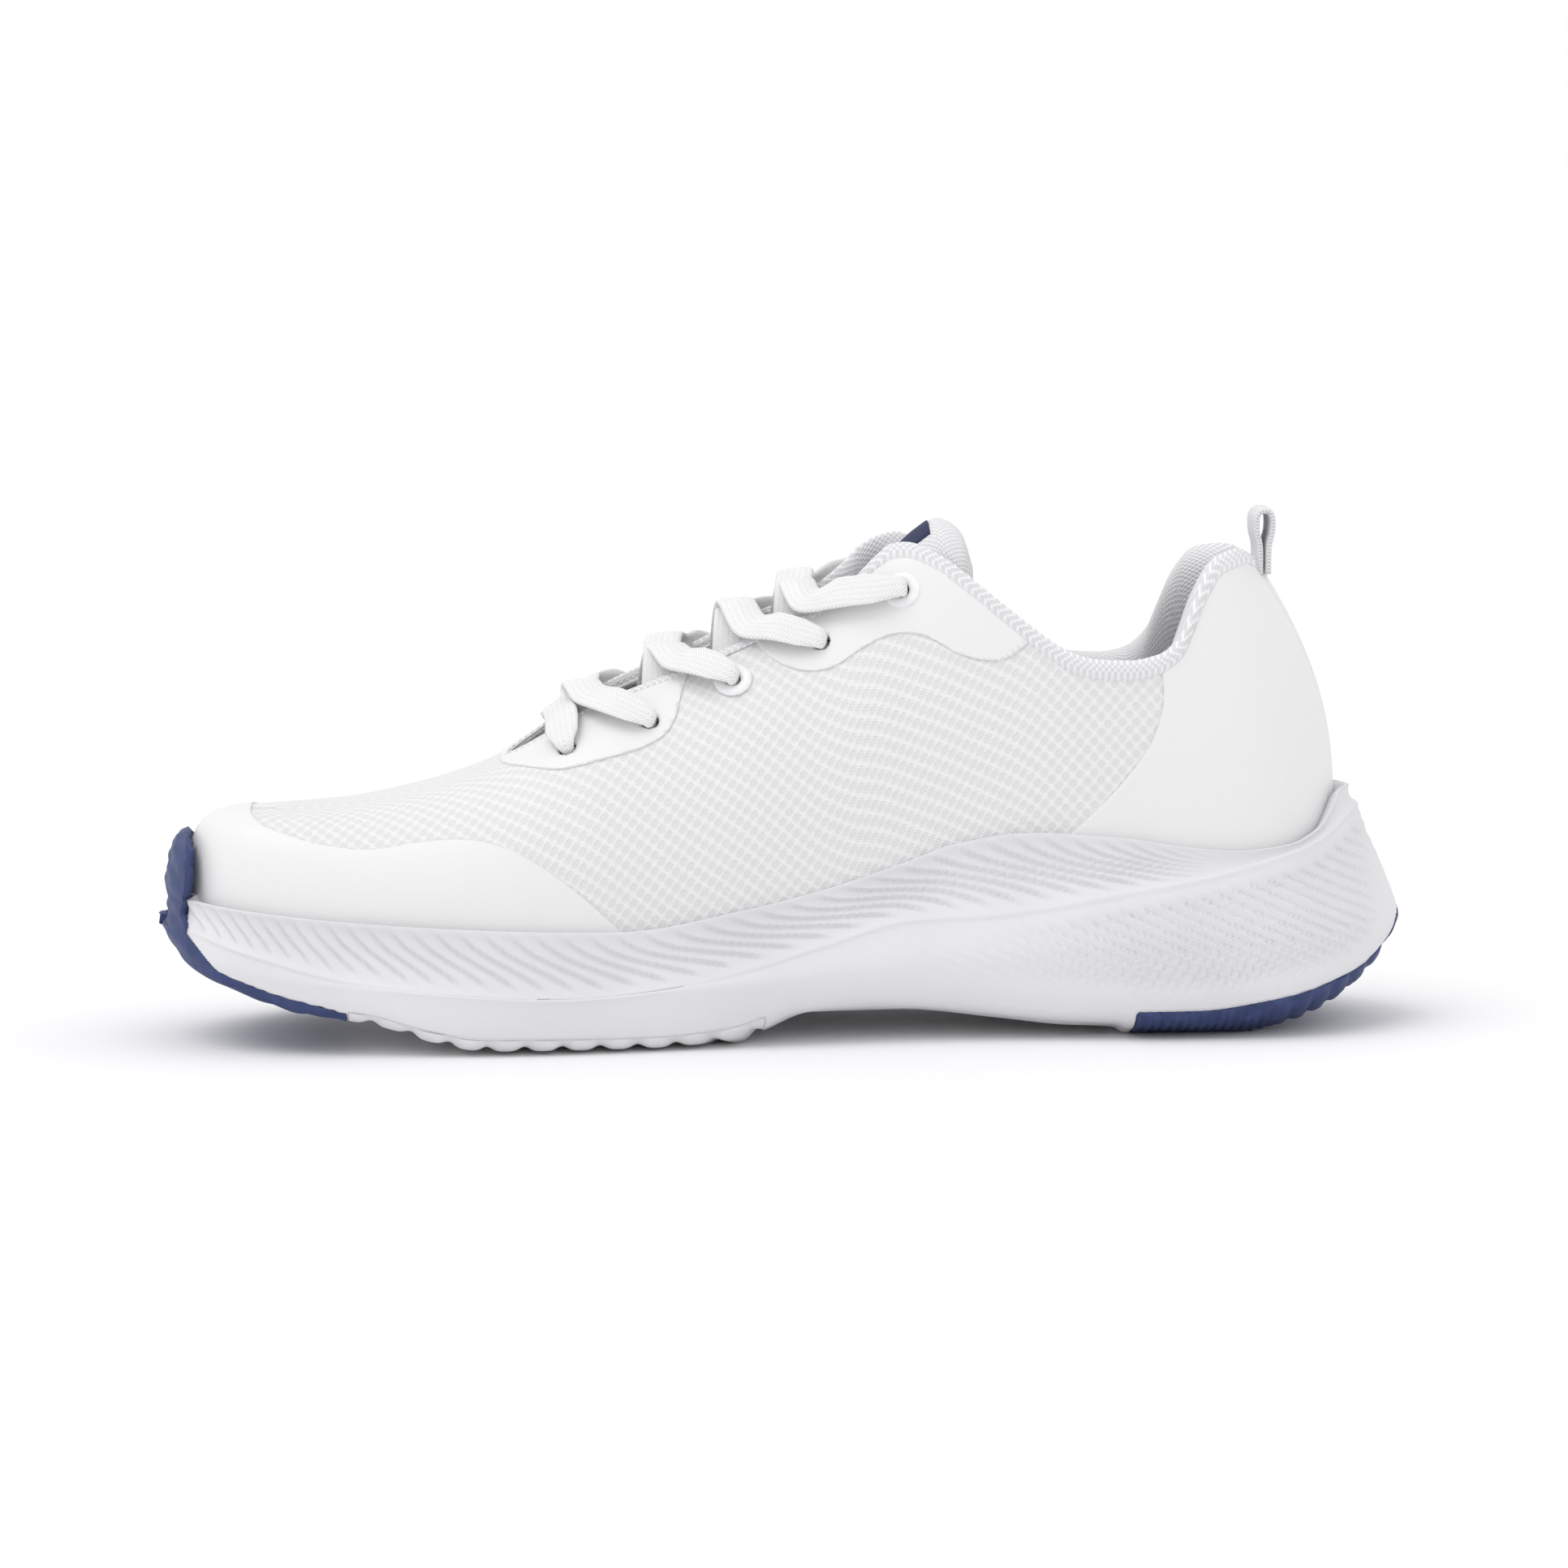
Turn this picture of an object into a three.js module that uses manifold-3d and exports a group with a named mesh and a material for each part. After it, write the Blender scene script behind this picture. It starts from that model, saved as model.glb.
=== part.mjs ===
// Right-foot running shoe with a knitted mesh upper, smooth welded overlays, a sculpted foam midsole and
// rubber outsole pads. Millimetres, +Z up. +X runs from toe to heel, -Y is the medial (inner) side and
// +Y the lateral side. The shoe stands on z = 0, with the origin under the middle of its outline.
import * as THREE from "three";
import { mergeVertices } from "three/addons/utils/BufferGeometryUtils.js";
import Module from "manifold-3d";

const wasm = await Module();
wasm.setup();

// ---------------------------------------------------------------- driving dimensions
const GAP = 0.3; // clearance kept between pieces that touch
const OVERLAY = 0.8; // welded film overlays, whose outer face is the skin of the foot form
const MESH = { outer: OVERLAY + GAP, inner: OVERLAY + GAP + 1.2 }; // depths of the knitted upper's faces
const STIFFENER = { outer: MESH.inner + GAP, inner: MESH.inner + GAP + 0.8 };
const LINING = { outer: STIFFENER.inner + GAP, inner: STIFFENER.inner + GAP + 0.8 };
const COLLAR_PAD = 4.2; // how much deeper the lining lies behind the collar foam
const BUMPER = 3.9; // how far the toe rubber stands off the upper
const RUBBER = 3; // outsole pads
const BOARD = 1.5; // strobel board
const SOCKLINER = 4;
const LUG_GROOVE = 1.4;
const TOE_POLE = -118; // the upper's ridge ends here, and its sections fan round to the toe
const HEEL_POLE = 80;
const SIDE_STATIONS = 18; // stations along each side of a body
const WALL_LEVELS = 6; // levels from the bite line to the ridge
const TUCK = 0.8; // how far the upper's wall draws in below the bite line
const SPILL = 6; // how far a cutting body reaches below the foot bed
const FAR = 400; // reach of a cutting block
const HOLE_RADIUS = 2.7; // punched holes
const FLANGE_RADIUS = 4.6; // eyelet rings and washers
const BARREL = { outer: 2.4, inner: 1.7 };
const FLANGE = 0.7; // thickness of a ring's flange, and of a washer
const SAG = 1; // allowance for the flat facets between two stations of the foot form
const LACE = { width: 7.6, thickness: 1.3, core: 1.4 }; // core: radius where it bunches in a hole
const LOOP = { x: 116, z: 116.2, height: 9.3, thickness: 2.7, slot: 1, width: 13 };

// ---------------------------------------------------------------- colours and finishes
const FINISH = {
  mesh: { color: 0xf2f2f4, roughness: 0.9, metalness: 0 },
  film: { color: 0xf7f7f9, roughness: 0.45, metalness: 0 },
  foam: { color: 0xf0eff6, roughness: 0.7, metalness: 0 },
  rubber: { color: 0x23263a, roughness: 0.6, metalness: 0 },
  whiteRubber: { color: 0xefeff4, roughness: 0.65, metalness: 0 },
  lining: { color: 0xe9e9ee, roughness: 0.95, metalness: 0 },
  padding: { color: 0xe4e0cf, roughness: 0.95, metalness: 0 },
  board: { color: 0xd9d9dc, roughness: 0.9, metalness: 0 },
  stiffener: { color: 0xd8d4c8, roughness: 0.8, metalness: 0 },
  lace: { color: 0xfafafa, roughness: 0.85, metalness: 0 },
  patch: { color: 0x20243c, roughness: 0.6, metalness: 0 },
  ring: { color: 0xf4f4f6, roughness: 0.35, metalness: 0 },
};

// ---------------------------------------------------------------- numbers and curves
const clamp = (value, low, high) => Math.min(high, Math.max(low, value));
const mix = (a, b, t) => a + (b - a) * t;
const steps = (count) => Array.from({ length: count + 1 }, (_, i) => i / count);
const smooth = (low, high, value) => {
  const t = clamp((value - low) / (high - low), 0, 1);
  return t * t * (3 - 2 * t);
};

// Monotone smooth curve through [x, value] points, flat beyond its ends.
function curve(points) {
  const last = points.length - 1;
  const secant = (i) => (points[i + 1][1] - points[i][1]) / (points[i + 1][0] - points[i][0]);
  const slopes = points.map((_, i) => {
    const [before, after] = [secant(Math.max(i - 1, 0)), secant(Math.min(i, last - 1))];
    return before * after <= 0 ? 0 : (2 * before * after) / (before + after);
  });
  return (x) => {
    if (x <= points[0][0]) return points[0][1];
    if (x >= points[last][0]) return points[last][1];
    const i = points.findIndex((p) => p[0] > x) - 1;
    const span = points[i + 1][0] - points[i][0];
    const t = (x - points[i][0]) / span;
    const bend = span * t * (1 - t) * ((1 - t) * slopes[i] - t * slopes[i + 1]);
    return mix(points[i][1], points[i + 1][1], t * t * (3 - 2 * t)) + bend;
  };
}

// ---------------------------------------------------------------- profiles of the upper, [x, value]
const biteLine = curve([
  [-145.5, 35], [-108, 31.6], [-73, 29.7], [-41, 28.7], [-13, 32.8], [7, 37.2], [26, 43.1], [38, 47.4],
  [56, 50], [76, 48.8], [92, 46.4], [106, 45.1], [119, 46], [128, 49.2], [134.5, 57.2],
]);
const footBed = curve([
  [-145, 31], [-120, 23.5], [-90, 19], [-50, 17.5], [0, 22], [40, 27], [100, 29.5], [135, 30.5],
]);
const crown = curve([
  [-118, 56], [-106, 56.8], [-94, 59], [-83, 61.8], [-71, 66.2], [-62, 71.6], [-46, 82.3], [-24, 93],
  [-9, 101], [5, 107], [13, 113], [20, 120.5], [27, 126.5], [40, 136], [60, 147], [80, 150],
]);
const ridgeSide = curve([[-118, -13], [-90, -11], [-60, -8], [0, -3], [60, 0]]); // y of the ridge
const roundness = curve([
  [-145.5, 0.25], [-118, 0.42], [-90, 0.55], [-60, 0.68], [-30, 0.85], [0, 0.97], [80, 1.05], [120, 1.7],
  [134.5, 2],
]); // exponent of a section's flank: small is boxy, 1 is an ellipse
const bulge = curve([[-118, 0.01], [-80, 0.035], [-20, 0.03], [40, 0]]);
const collarLine = curve([
  [15, 112.4], [18, 114.6], [22.5, 117.2], [28, 118.4], [34.5, 116.2], [44, 109.4], [52, 103], [60, 96.8],
  [66, 93.1], [72, 91.4], [80, 91], [87, 92.3], [92, 95.7], [95, 102.1], [98, 109.2], [102, 114.6],
  [108, 116], [116, 111.6], [130, 111.2],
]);
const lateralDrop = curve([[30, 0], [60, 3.6], [84, 3.6], [98, 0]]); // the lateral collar is lower
const throatHalfWidth = curve([[-68, 3], [-62, 7.5], [-54, 10], [-35, 13], [-15, 13.5], [7, 12.5], [30, 11]]);

// ---------------------------------------------------------------- profiles of the sole, [x, value]
const bottomZ = curve([
  [-150, 23], [-145, 18.6], [-130, 12.9], [-118, 9.4], [-107, 7.8], [-98, 6], [-87, 2.8], [-78, 0.7],
  [-70, 0], [-15, 0], [-7, 3], [4, 6.8], [25, 6.8], [48, 4.6], [62, 3], [77, 1.6], [80, 0], [107, 0],
  [120, 2.5], [130, 6], [140, 12], [150, 22],
]);
const edgeZ = curve([
  [-150, 26], [-145, 20.3], [-130, 14.1], [-118, 10.6], [-107, 9], [-98, 7.4], [-87, 4.2], [-75, 2.2],
  [-35, 1.8], [-18, 3], [-8, 5.5], [0, 8.6], [20, 9.6], [56, 7.4], [77, 6], [82, 5.4], [96, 5.5],
  [114, 7.8], [128, 10.8], [137, 13.8], [146, 20], [150, 26],
]);
const bellyZ = curve([[-150, 26.8], [-145, 23.8], [-130, 18.5], [-100, 15], [-60, 12], [-20, 14], [30, 19], [100, 22], [150, 28],
]);
const partingZ = curve([
  [-142, 27.5], [-126, 22.6], [-106, 17.7], [-81, 14.9], [-53, 13.3], [-33, 14.8], [-13, 18.7], [7, 24.2],
  [27, 29.4], [46, 30.4], [80, 35.6], [96, 38.3], [114, 42.7], [126, 46], [138, 52.6],
]);
const treadInset = curve([[-150, 6], [-120, 9], [-90, 11], [60, 11], [84, 15], [118, 14], [150, 6]]);
const edgeInset = curve([[-150, 1.5], [-60, 2], [20, 3.5], [100, 3.5], [150, 1.2]]);
const partingInset = curve([[-150, 0.6], [-60, 0.4], [0, 1.4], [60, 2.2], [110, 4], [150, 10]]);
const rimInset = curve([[-150, 1.6], [-60, 1.2], [0, 2.2], [60, 3], [105, 4], [130, 8], [150, 12]]);

// ---------------------------------------------------------------- plan outlines
// Closed smooth outlines, from the toe tip along the medial side to the heel and back along the lateral.
const SOLE_PLAN = [
  [-150, -13], [-140, -36], [-115, -46.5], [-70, -51.5], [-22, -45.5], [28, -38], [78, -39.5], [126, -34.5],
  [150, 0], [126, 35.5], [80, 42], [32, 44.5], [-18, 51.5], [-66, 49], [-110, 34], [-140, 11],
];
const UPPER_PLAN = [
  [-145.5, -13], [-136.5, -32.5], [-113, -42.8], [-70, -48], [-22, -42.5], [28, -34.5], [78, -34],
  [117, -28.5], [134.5, 0], [117, 29.5], [80, 36.5], [32, 41], [-18, 48], [-66, 45.5], [-108, 31.5],
  [-136.5, 7.5],
];

// Point of a plan's closed Catmull-Rom curve; parameter 1 is one outline point on.
function planPoint(plan, parameter) {
  const i = Math.floor(parameter);
  const s = parameter - i;
  const n = plan.length;
  const [a, b, c, d] = [i - 1, i, i + 1, i + 2].map((k) => plan[((k % n) + n) % n]);
  const blend = (p, q, r, w) =>
    0.5 * (2 * q + (r - p) * s + (2 * p - 5 * q + 4 * r - w) * s * s + (3 * (q - r) - p + w) * s * s * s);
  return new THREE.Vector2(blend(a[0], b[0], c[0], d[0]), blend(a[1], b[1], c[1], d[1]));
}

// Outline parameter at which the medial (side -1) or lateral (side 1) run of a plan reaches x.
function planParameter(plan, side, x) {
  let [toe, heel] = side < 0 ? [0, plan.length / 2] : [plan.length, plan.length / 2];
  for (let halving = 0; halving < 40; halving++) {
    const middle = (toe + heel) / 2;
    if (planPoint(plan, middle).x < x) toe = middle;
    else heel = middle;
  }
  return (toe + heel) / 2;
}

// Stations round a plan: toe tip, medial side, heel tip, lateral side, so that k pairs with N - k.
function stationsOf(plan) {
  const [toe, heel] = [planPoint(plan, 0), planPoint(plan, plan.length / 2)];
  const station = (k, side) => {
    const x = mix(toe.x, heel.x, (1 - Math.cos((Math.PI * k) / SIDE_STATIONS)) / 2);
    const parameter = planParameter(plan, side, x);
    const along = planPoint(plan, parameter + 0.01).sub(planPoint(plan, parameter - 0.01)).normalize();
    return { point: planPoint(plan, parameter), inward: new THREE.Vector2(-along.y, along.x) };
  };
  const inner = Array.from({ length: SIDE_STATIONS - 1 }, (_, i) => i + 1);
  return [
    { point: toe, inward: new THREE.Vector2(1, 0) },
    ...inner.map((k) => station(k, -1)),
    { point: heel, inward: new THREE.Vector2(-1, 0) },
    ...inner.toReversed().map((k) => station(k, 1)),
  ];
}
const UPPER_STATIONS = stationsOf(UPPER_PLAN);
const SOLE_STATIONS = stationsOf(SOLE_PLAN);

// ---------------------------------------------------------------- solids
function solidOf(geometry) {
  const bare = geometry.index ? geometry.toNonIndexed() : geometry.clone();
  bare.deleteAttribute("normal");
  bare.deleteAttribute("uv");
  const merged = mergeVertices(bare, 1e-4);
  const corners = merged.index.array;
  const kept = [];
  for (let i = 0; i < corners.length; i += 3) {
    const [a, b, c] = corners.slice(i, i + 3);
    if (a !== b && b !== c && a !== c) kept.push(a, b, c);
  }
  const vertProperties = merged.attributes.position.array;
  return new wasm.Manifold(new wasm.Mesh({ numProp: 3, vertProperties, triVerts: Uint32Array.from(kept) }));
}

// Closed body from rings of equal even length, with flat ends that join station k to station N - k.
function bodyFromRings(rings) {
  const n = rings[0].length;
  const points = rings.flat();
  const corners = [];
  rings.slice(1).forEach((_, level) => {
    for (let k = 0; k < n; k++) {
      const [a, b] = [level * n + k, level * n + ((k + 1) % n)];
      corners.push(a, b, b + n, a, b + n, a + n);
    }
  });
  const end = (start, turn) => {
    for (let k = 0; k < n / 2; k++) {
      const [a, b, c, d] = [k, k + 1, n - k - 1, (n - k) % n].map((i) => start + i);
      corners.push(...(turn ? [a, b, c, a, c, d] : [a, c, b, a, d, c]));
    }
  };
  end(0, false);
  end((rings.length - 1) * n, true);
  return solidOf(new THREE.BufferGeometry().setFromPoints(corners.map((i) => points[i])));
}

// Block that has the given [x, z] outline and runs from y = low to y = high.
function sideBlock(outline, low = -FAR, high = FAR) {
  const shape = new THREE.Shape(outline.map(([x, z]) => new THREE.Vector2(x, z)));
  const block = new THREE.ExtrudeGeometry(shape, { depth: high - low, bevelEnabled: false });
  return solidOf(block.rotateX(Math.PI / 2).translate(0, high, 0));
}

// Block that has the given [x, y] outline and runs upwards from z = low.
function planBlock(outline, low) {
  const shape = new THREE.Shape(outline.map(([x, y]) => new THREE.Vector2(x, y)));
  return solidOf(new THREE.ExtrudeGeometry(shape, { depth: FAR, bevelEnabled: false }).translate(0, 0, low));
}

const along = (line, from, to, count) => steps(count).map((t) => mix(from, to, t)).map((x) => [x, line(x)]);
const rounded = (points) =>
  new THREE.SplineCurve(points.map(([x, z]) => new THREE.Vector2(x, z)))
    .getPoints((points.length - 1) * 2)
    .map((p) => [p.x, p.y]);
const above = (line, from, to, count) => [...along(line, from, to, count), [to, FAR], [from, FAR]];
const below = (line, from, to, count) => [[from, -FAR], [to, -FAR], ...along(line, to, from, count)];
const sideOf = (side) => (side < 0 ? [-FAR, -GAP / 2] : [GAP / 2, FAR]);
const union = (solids) => solids.reduce((whole, solid) => whole.add(solid));

// ---------------------------------------------------------------- the foot form
// Vertical section of the foot form from a base point on the plan to the ridge.
function sectionAt({ x, y }) {
  const poleX = clamp(x, TOE_POLE, HEEL_POLE);
  const ridge = new THREE.Vector2(poleX, ridgeSide(poleX));
  const out = new THREE.Vector2(x, y).sub(ridge);
  return { x, ridge, reach: out.length(), out: out.normalize(), low: biteLine(x), high: crown(poleX) };
}

// Point of a section at a turn from 0 at the bite line to pi / 2 at the ridge, at a depth under the skin.
function flank(section, turn, depth) {
  const rise = Math.sin(turn);
  const d = typeof depth === "number" ? depth : depth(section.x, mix(section.low, section.high, rise));
  const swell = 1 + 4 * bulge(section.x) * rise * (1 - rise);
  const cosine = Math.max(Math.cos(turn), 0);
  const run = Math.max(section.reach - d, 0.5) * cosine ** roundness(section.x) * swell;
  const z = mix(section.low, section.high - d, rise);
  return new THREE.Vector3(section.ridge.x + section.out.x * run, section.ridge.y + section.out.y * run, z);
}

// Turns that space the levels evenly along a section.
function evenTurns(section) {
  const turns = steps(90).map((t) => (t * Math.PI) / 2);
  const lengths = [0];
  for (let i = 1; i < turns.length; i++) {
    const piece = flank(section, turns[i], 0).distanceTo(flank(section, turns[i - 1], 0));
    lengths.push(lengths[i - 1] + piece);
  }
  return steps(WALL_LEVELS).map((share) => {
    const target = lengths.at(-1) * share;
    const i = clamp(lengths.findIndex((length) => length >= target), 1, turns.length - 1);
    return mix(turns[i - 1], turns[i], (target - lengths[i - 1]) / (lengths[i] - lengths[i - 1]));
  });
}
const SECTIONS = UPPER_STATIONS.map(({ point }) => sectionAt(point));
const TURNS = SECTIONS.map(evenTurns);

// Closed body of the foot form at a depth under the outermost skin, with its bottom above the foot bed.
function footForm(depth, spill = 0) {
  const bottom = SECTIONS.map((section) => {
    const base = flank(section, 0, depth);
    const z = footBed(section.x) + GAP - spill;
    return new THREE.Vector3(base.x - section.out.x * TUCK, base.y - section.out.y * TUCK, z);
  });
  const walls = steps(WALL_LEVELS).map((_, level) =>
    SECTIONS.map((section, k) => {
      const point = flank(section, TURNS[k][level], depth);
      return level < WALL_LEVELS ? point : new THREE.Vector3(section.ridge.x, section.ridge.y, point.z);
    }),
  );
  return bodyFromRings([bottom, ...walls]);
}

const shellBetween = (outer, inner) => footForm(outer).subtract(footForm(inner, SPILL));

// Point on the foot form at x and height z of one side, and the outward direction there.
function skinPoint(side, x, z, depth) {
  const section = sectionAt(planPoint(UPPER_PLAN, planParameter(UPPER_PLAN, side, x)));
  return flank(section, Math.asin(clamp((z - section.low) / (section.high - section.low), 0, 1)), depth);
}
function skinNormal(side, x, z) {
  const acrossX = skinPoint(side, x + 1, z, 0).sub(skinPoint(side, x - 1, z, 0));
  const acrossZ = skinPoint(side, x, z + 1, 0).sub(skinPoint(side, x, z - 1, 0));
  return acrossX.cross(acrossZ).normalize().multiplyScalar(-side);
}

// Point at a depth straight under the skin.
const underSkin = (side, x, z, depth) =>
  skinPoint(side, x, z, 0).addScaledVector(skinNormal(side, x, z), -depth);

// ---------------------------------------------------------------- openings cut in the upper
const throatOutline = (grow = 0) => {
  const edge = steps(10).map((t) => mix(-68, 30, t)).map((x) => [x, throatHalfWidth(x) + grow]);
  const medial = edge.map(([x, w]) => [x, ridgeSide(x) - w]);
  const lateral = edge.map(([x, w]) => [x, ridgeSide(x) + w]);
  return [...medial, [60, -26], [60, 26], ...lateral.toReversed()];
};
const topOpening = (side) => {
  const line = (x) => collarLine(x) - (side > 0 ? lateralDrop(x) : 0);
  return sideBlock(above(line, 15, 160, 48), ...(side < 0 ? [-FAR, 0] : [-0.01, FAR]));
};
const OPENINGS = union([planBlock(throatOutline(), 50), topOpening(-1), topOpening(1)]);

// ---------------------------------------------------------------- eyelets
const EYELETS = [
  { x: -54.4, z: 71.2, ringed: false },
  { x: -34.6, z: 77.4, ringed: false },
  { x: -14.6, z: 86.8, ringed: true },
  { x: 6.7, z: 95.3, ringed: false },
  { x: 26, z: 107.5, ringed: true },
];
const SIDES = [{ side: -1, name: "medial" }, { side: 1, name: "lateral" }];

// Moves a geometry whose axis is +Y on to the skin at an eyelet, with +Y pointing outwards.
function onSkin(geometry, side, { x, z }, depth = 0) {
  const turn = new THREE.Quaternion().setFromUnitVectors(new THREE.Vector3(0, 1, 0), skinNormal(side, x, z));
  return geometry.applyQuaternion(turn).translate(...underSkin(side, x, z, depth));
}
const eyeletBore = (side, eyelet) =>
  solidOf(onSkin(new THREE.CylinderGeometry(HOLE_RADIUS, HOLE_RADIUS, 24, 8), side, eyelet));
const BORES = union(SIDES.flatMap(({ side }) => EYELETS.map((eyelet) => eyeletBore(side, eyelet))));

const lathe = (profile) => new THREE.LatheGeometry(profile.map(([r, h]) => new THREE.Vector2(r, h)), 10);
const RING_BACK = LINING.inner + SAG + GAP; // depth at which the barrel ends, on the washer's upper face
const ring = (side, eyelet) => {
  const foot = GAP;
  const back = -RING_BACK;
  const profile = [
    [BARREL.inner, back], [BARREL.outer, back], [BARREL.outer, foot], [FLANGE_RADIUS, foot],
    [FLANGE_RADIUS - 0.4, foot + FLANGE], [BARREL.inner + 0.4, foot + FLANGE], [BARREL.inner, foot + 0.4],
    [BARREL.inner, back],
  ];
  return solidOf(onSkin(lathe(profile), side, eyelet));
};
const washer = (side, eyelet) => {
  const [top, bottom] = [-RING_BACK, -RING_BACK - FLANGE];
  const hole = BARREL.outer + GAP;
  const rim = FLANGE_RADIUS;
  const profile = [[hole, bottom], [rim, bottom], [rim, top], [hole, top], [hole, bottom]];
  return solidOf(onSkin(lathe(profile), side, eyelet));
};

// ---------------------------------------------------------------- overlay outlines, [x, z]
const TOE_OVERLAY_EDGE = [
  [-130, 56], [-126, 53.4], [-112, 49.2], [-101, 48.3], [-89, 50.2], [-80.5, 50.8], [-73, 50], [-66, 47.5],
  [-50, 36.2], [-38, 24],
];
const FRONT_EYESTAY = [
  [-70.5, 66.2], [-55.8, 66.5], [-45.1, 69], [-36.4, 71.4], [-31, 74.4], [-28.4, 78.2], [-26.7, 83.6],
  [-24.7, 88.4],
];
const UPPER_EYESTAY = [
  [-9.6, 96.3], [-7.2, 93], [-2.7, 90], [2.7, 88.6], [8.8, 89.2], [16, 93.6], [26.5, 97.4], [39, 92.6],
  [50.5, 91.4], [57.4, 95.9],
];
const HEEL_PANEL_FRONT = [
  [86.4, 90.6], [88.2, 81.4], [87, 75.9], [84.2, 69.5], [77.8, 61.3], [70.7, 54.1], [63, 47], [55, 38],
];
const TAPE_HALF_WIDTH = curve([[50, 3.5], [112, 6.5]]);

const toeOverlay = () =>
  sideBlock([[-160, 90], [-130, 90], ...rounded(TOE_OVERLAY_EDGE), [-38, 0], [-160, 0]]);
const frontEyestay = () => sideBlock([...rounded(FRONT_EYESTAY), [-24.7, 120], [-70.5, 120]]);
const upperEyestay = (side) =>
  sideBlock([...rounded(UPPER_EYESTAY), [57.4, 140], [-9.6, 140]], ...sideOf(side));
const tapeBlock = (grow) => {
  const outline = along(TAPE_HALF_WIDTH, 20, 125, 6).map(([z, w]) => [w + grow, z]);
  const shape = [...outline, ...outline.toReversed().map(([w, z]) => [-w, z])];
  return solidOf(
    new THREE.ExtrudeGeometry(new THREE.Shape(shape.map(([y, z]) => new THREE.Vector2(y, z))), {
      depth: 60,
      bevelEnabled: false,
    }).rotateX(Math.PI / 2).rotateZ(Math.PI / 2).translate(100, 0, 0),
  );
};
const heelPanel = (side) =>
  sideBlock([...rounded(HEEL_PANEL_FRONT), [55, 0], [160, 0], [160, 130], [86.4, 130]], ...sideOf(side));

// ---------------------------------------------------------------- collar padding
const padStart = (x) => collarLine(Math.max(x, 26)) - 27;
const padding = (x, z) => COLLAR_PAD * smooth(padStart(x), padStart(x) + 15, z) * smooth(44, 62, x);
const liningDepth = (offset) => (x, z) => offset + padding(x, z);
const collarBand = () => sideBlock(above((x) => padStart(x) + 5, 46, 160, 40));

// ---------------------------------------------------------------- the tongue
const TONGUE_DEPTH = 12.5; // depth of the tongue's face under the ridge, which leaves room for the lace
const TONGUE_TOP = [ // [x, z] of the top's roll
  [15, 100.5], [21.5, 108.5], [27, 115.6], [32, 120.2], [37, 122.8], [42.5, 119.5], [45, 112.5],
];
const TONGUE_LINE = new THREE.SplineCurve(
  [...along(crown, -73, 7, 5).map(([x, z]) => [x, z - TONGUE_DEPTH]), ...TONGUE_TOP]
    .map(([x, z]) => new THREE.Vector2(x, z)),
);
const tongueCentre = curve([[-73, -9], [-40, -4], [-14, 0.4], [26, 1.8]]); // y of its middle
const tongueHalfWidth = curve([[-73, 13], [-46, 15], [-14, 15.5], [10, 13.5], [44, 13]]);
const tongueDroop = curve([[-73, 1 / 60], [-46, 1 / 45], [-14, 1 / 34], [10, 1 / 28], [26, 1 / 26]]);
const TONGUE = { shell: 1, foam: 2.6, lining: 0.8, label: 0.5 };
const TONGUE_RINGS = steps(16);
const TONGUE_SHARES = steps(6).map((t) => 2 * t - 1); // places across it, as shares of its half width

// Slab that follows the tongue between two depths under its face.
function tongueSlab(top, bottom, inset = 0, along = TONGUE_RINGS, across = TONGUE_SHARES) {
  const rings = along.map((s) => {
    const centre = TONGUE_LINE.getPoint(s);
    const forward = TONGUE_LINE.getTangent(s);
    const up = new THREE.Vector2(-forward.y, forward.x);
    const place = (share, depth) => {
      const y = share * (tongueHalfWidth(centre.x) - inset);
      const z = centre.y - up.y * depth - y * y * tongueDroop(centre.x);
      return new THREE.Vector3(centre.x - up.x * depth, y + tongueCentre(centre.x), z);
    };
    const face = across.toReversed().map((share) => place(share, top));
    const back = across.map((share) => place(share, bottom));
    return [back[0], ...face.toReversed(), ...back.slice(1).toReversed()].toReversed();
  });
  return bodyFromRings(rings);
}

// ---------------------------------------------------------------- the lace
// Flat ribbon through [point, outward direction] stations.
function ribbon(stations, width = LACE.width) {
  const rings = stations.map(([point, up], i) => {
    const ahead = stations[Math.min(i + 1, stations.length - 1)][0].clone();
    const aside = ahead.sub(stations[Math.max(i - 1, 0)][0]).cross(up).normalize();
    const half = { width: width / 2, thickness: LACE.thickness / 2 };
    const corner = (across, high) =>
      point.clone().addScaledVector(aside, across * half.width).addScaledVector(up, high * half.thickness);
    return [corner(-1, 1), corner(1, 1), corner(1, -1), corner(-1, -1)];
  });
  return bodyFromRings(rings);
}

// Depths of the lace's middle where it lies over a flap and behind one.
const LACE_OUT = -(GAP + FLANGE + SAG + 2 * GAP + LACE.thickness / 2);
const LACE_IN = RING_BACK + FLANGE + GAP + LACE.thickness / 2;
const laceStation = (side, { x, z }, depth) => [underSkin(side, x, z, depth), skinNormal(side, x, z)];

// Height of the skin where the throat edge of a flap lies, a little inside the slot.
function edgeHeight(side, x) {
  const reach = throatHalfWidth(x) - LACE.thickness;
  let [low, high] = [biteLine(x), crown(x)];
  for (let halving = 0; halving < 30; halving++) {
    const middle = (low + high) / 2;
    if (Math.abs(skinPoint(side, x, middle, 0).y - ridgeSide(x)) > reach) low = middle;
    else high = middle;
  }
  return low;
}

// Run of the lace over or behind a flap, from its throat edge at x to an eyelet.
const flapRun = (side, x, eyelet, depth) =>
  steps(4).map((t) => {
    const place = { x: mix(x, eyelet.x, t), z: mix(edgeHeight(side, x), eyelet.z, t) };
    return laceStation(side, place, depth);
  });

// Where each crossing leaves one flap and lands on the other, as shares of the way to its next eyelet.
const CROSSINGS = [
  { leave: 0.05, land: 0.35 },
  { leave: 0.05, land: 0.4 },
  { leave: -0.1, land: 0.25 },
  { leave: -0.4, land: -0.1 },
];

const UP = new THREE.Vector3(0, 0, 1);

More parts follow.
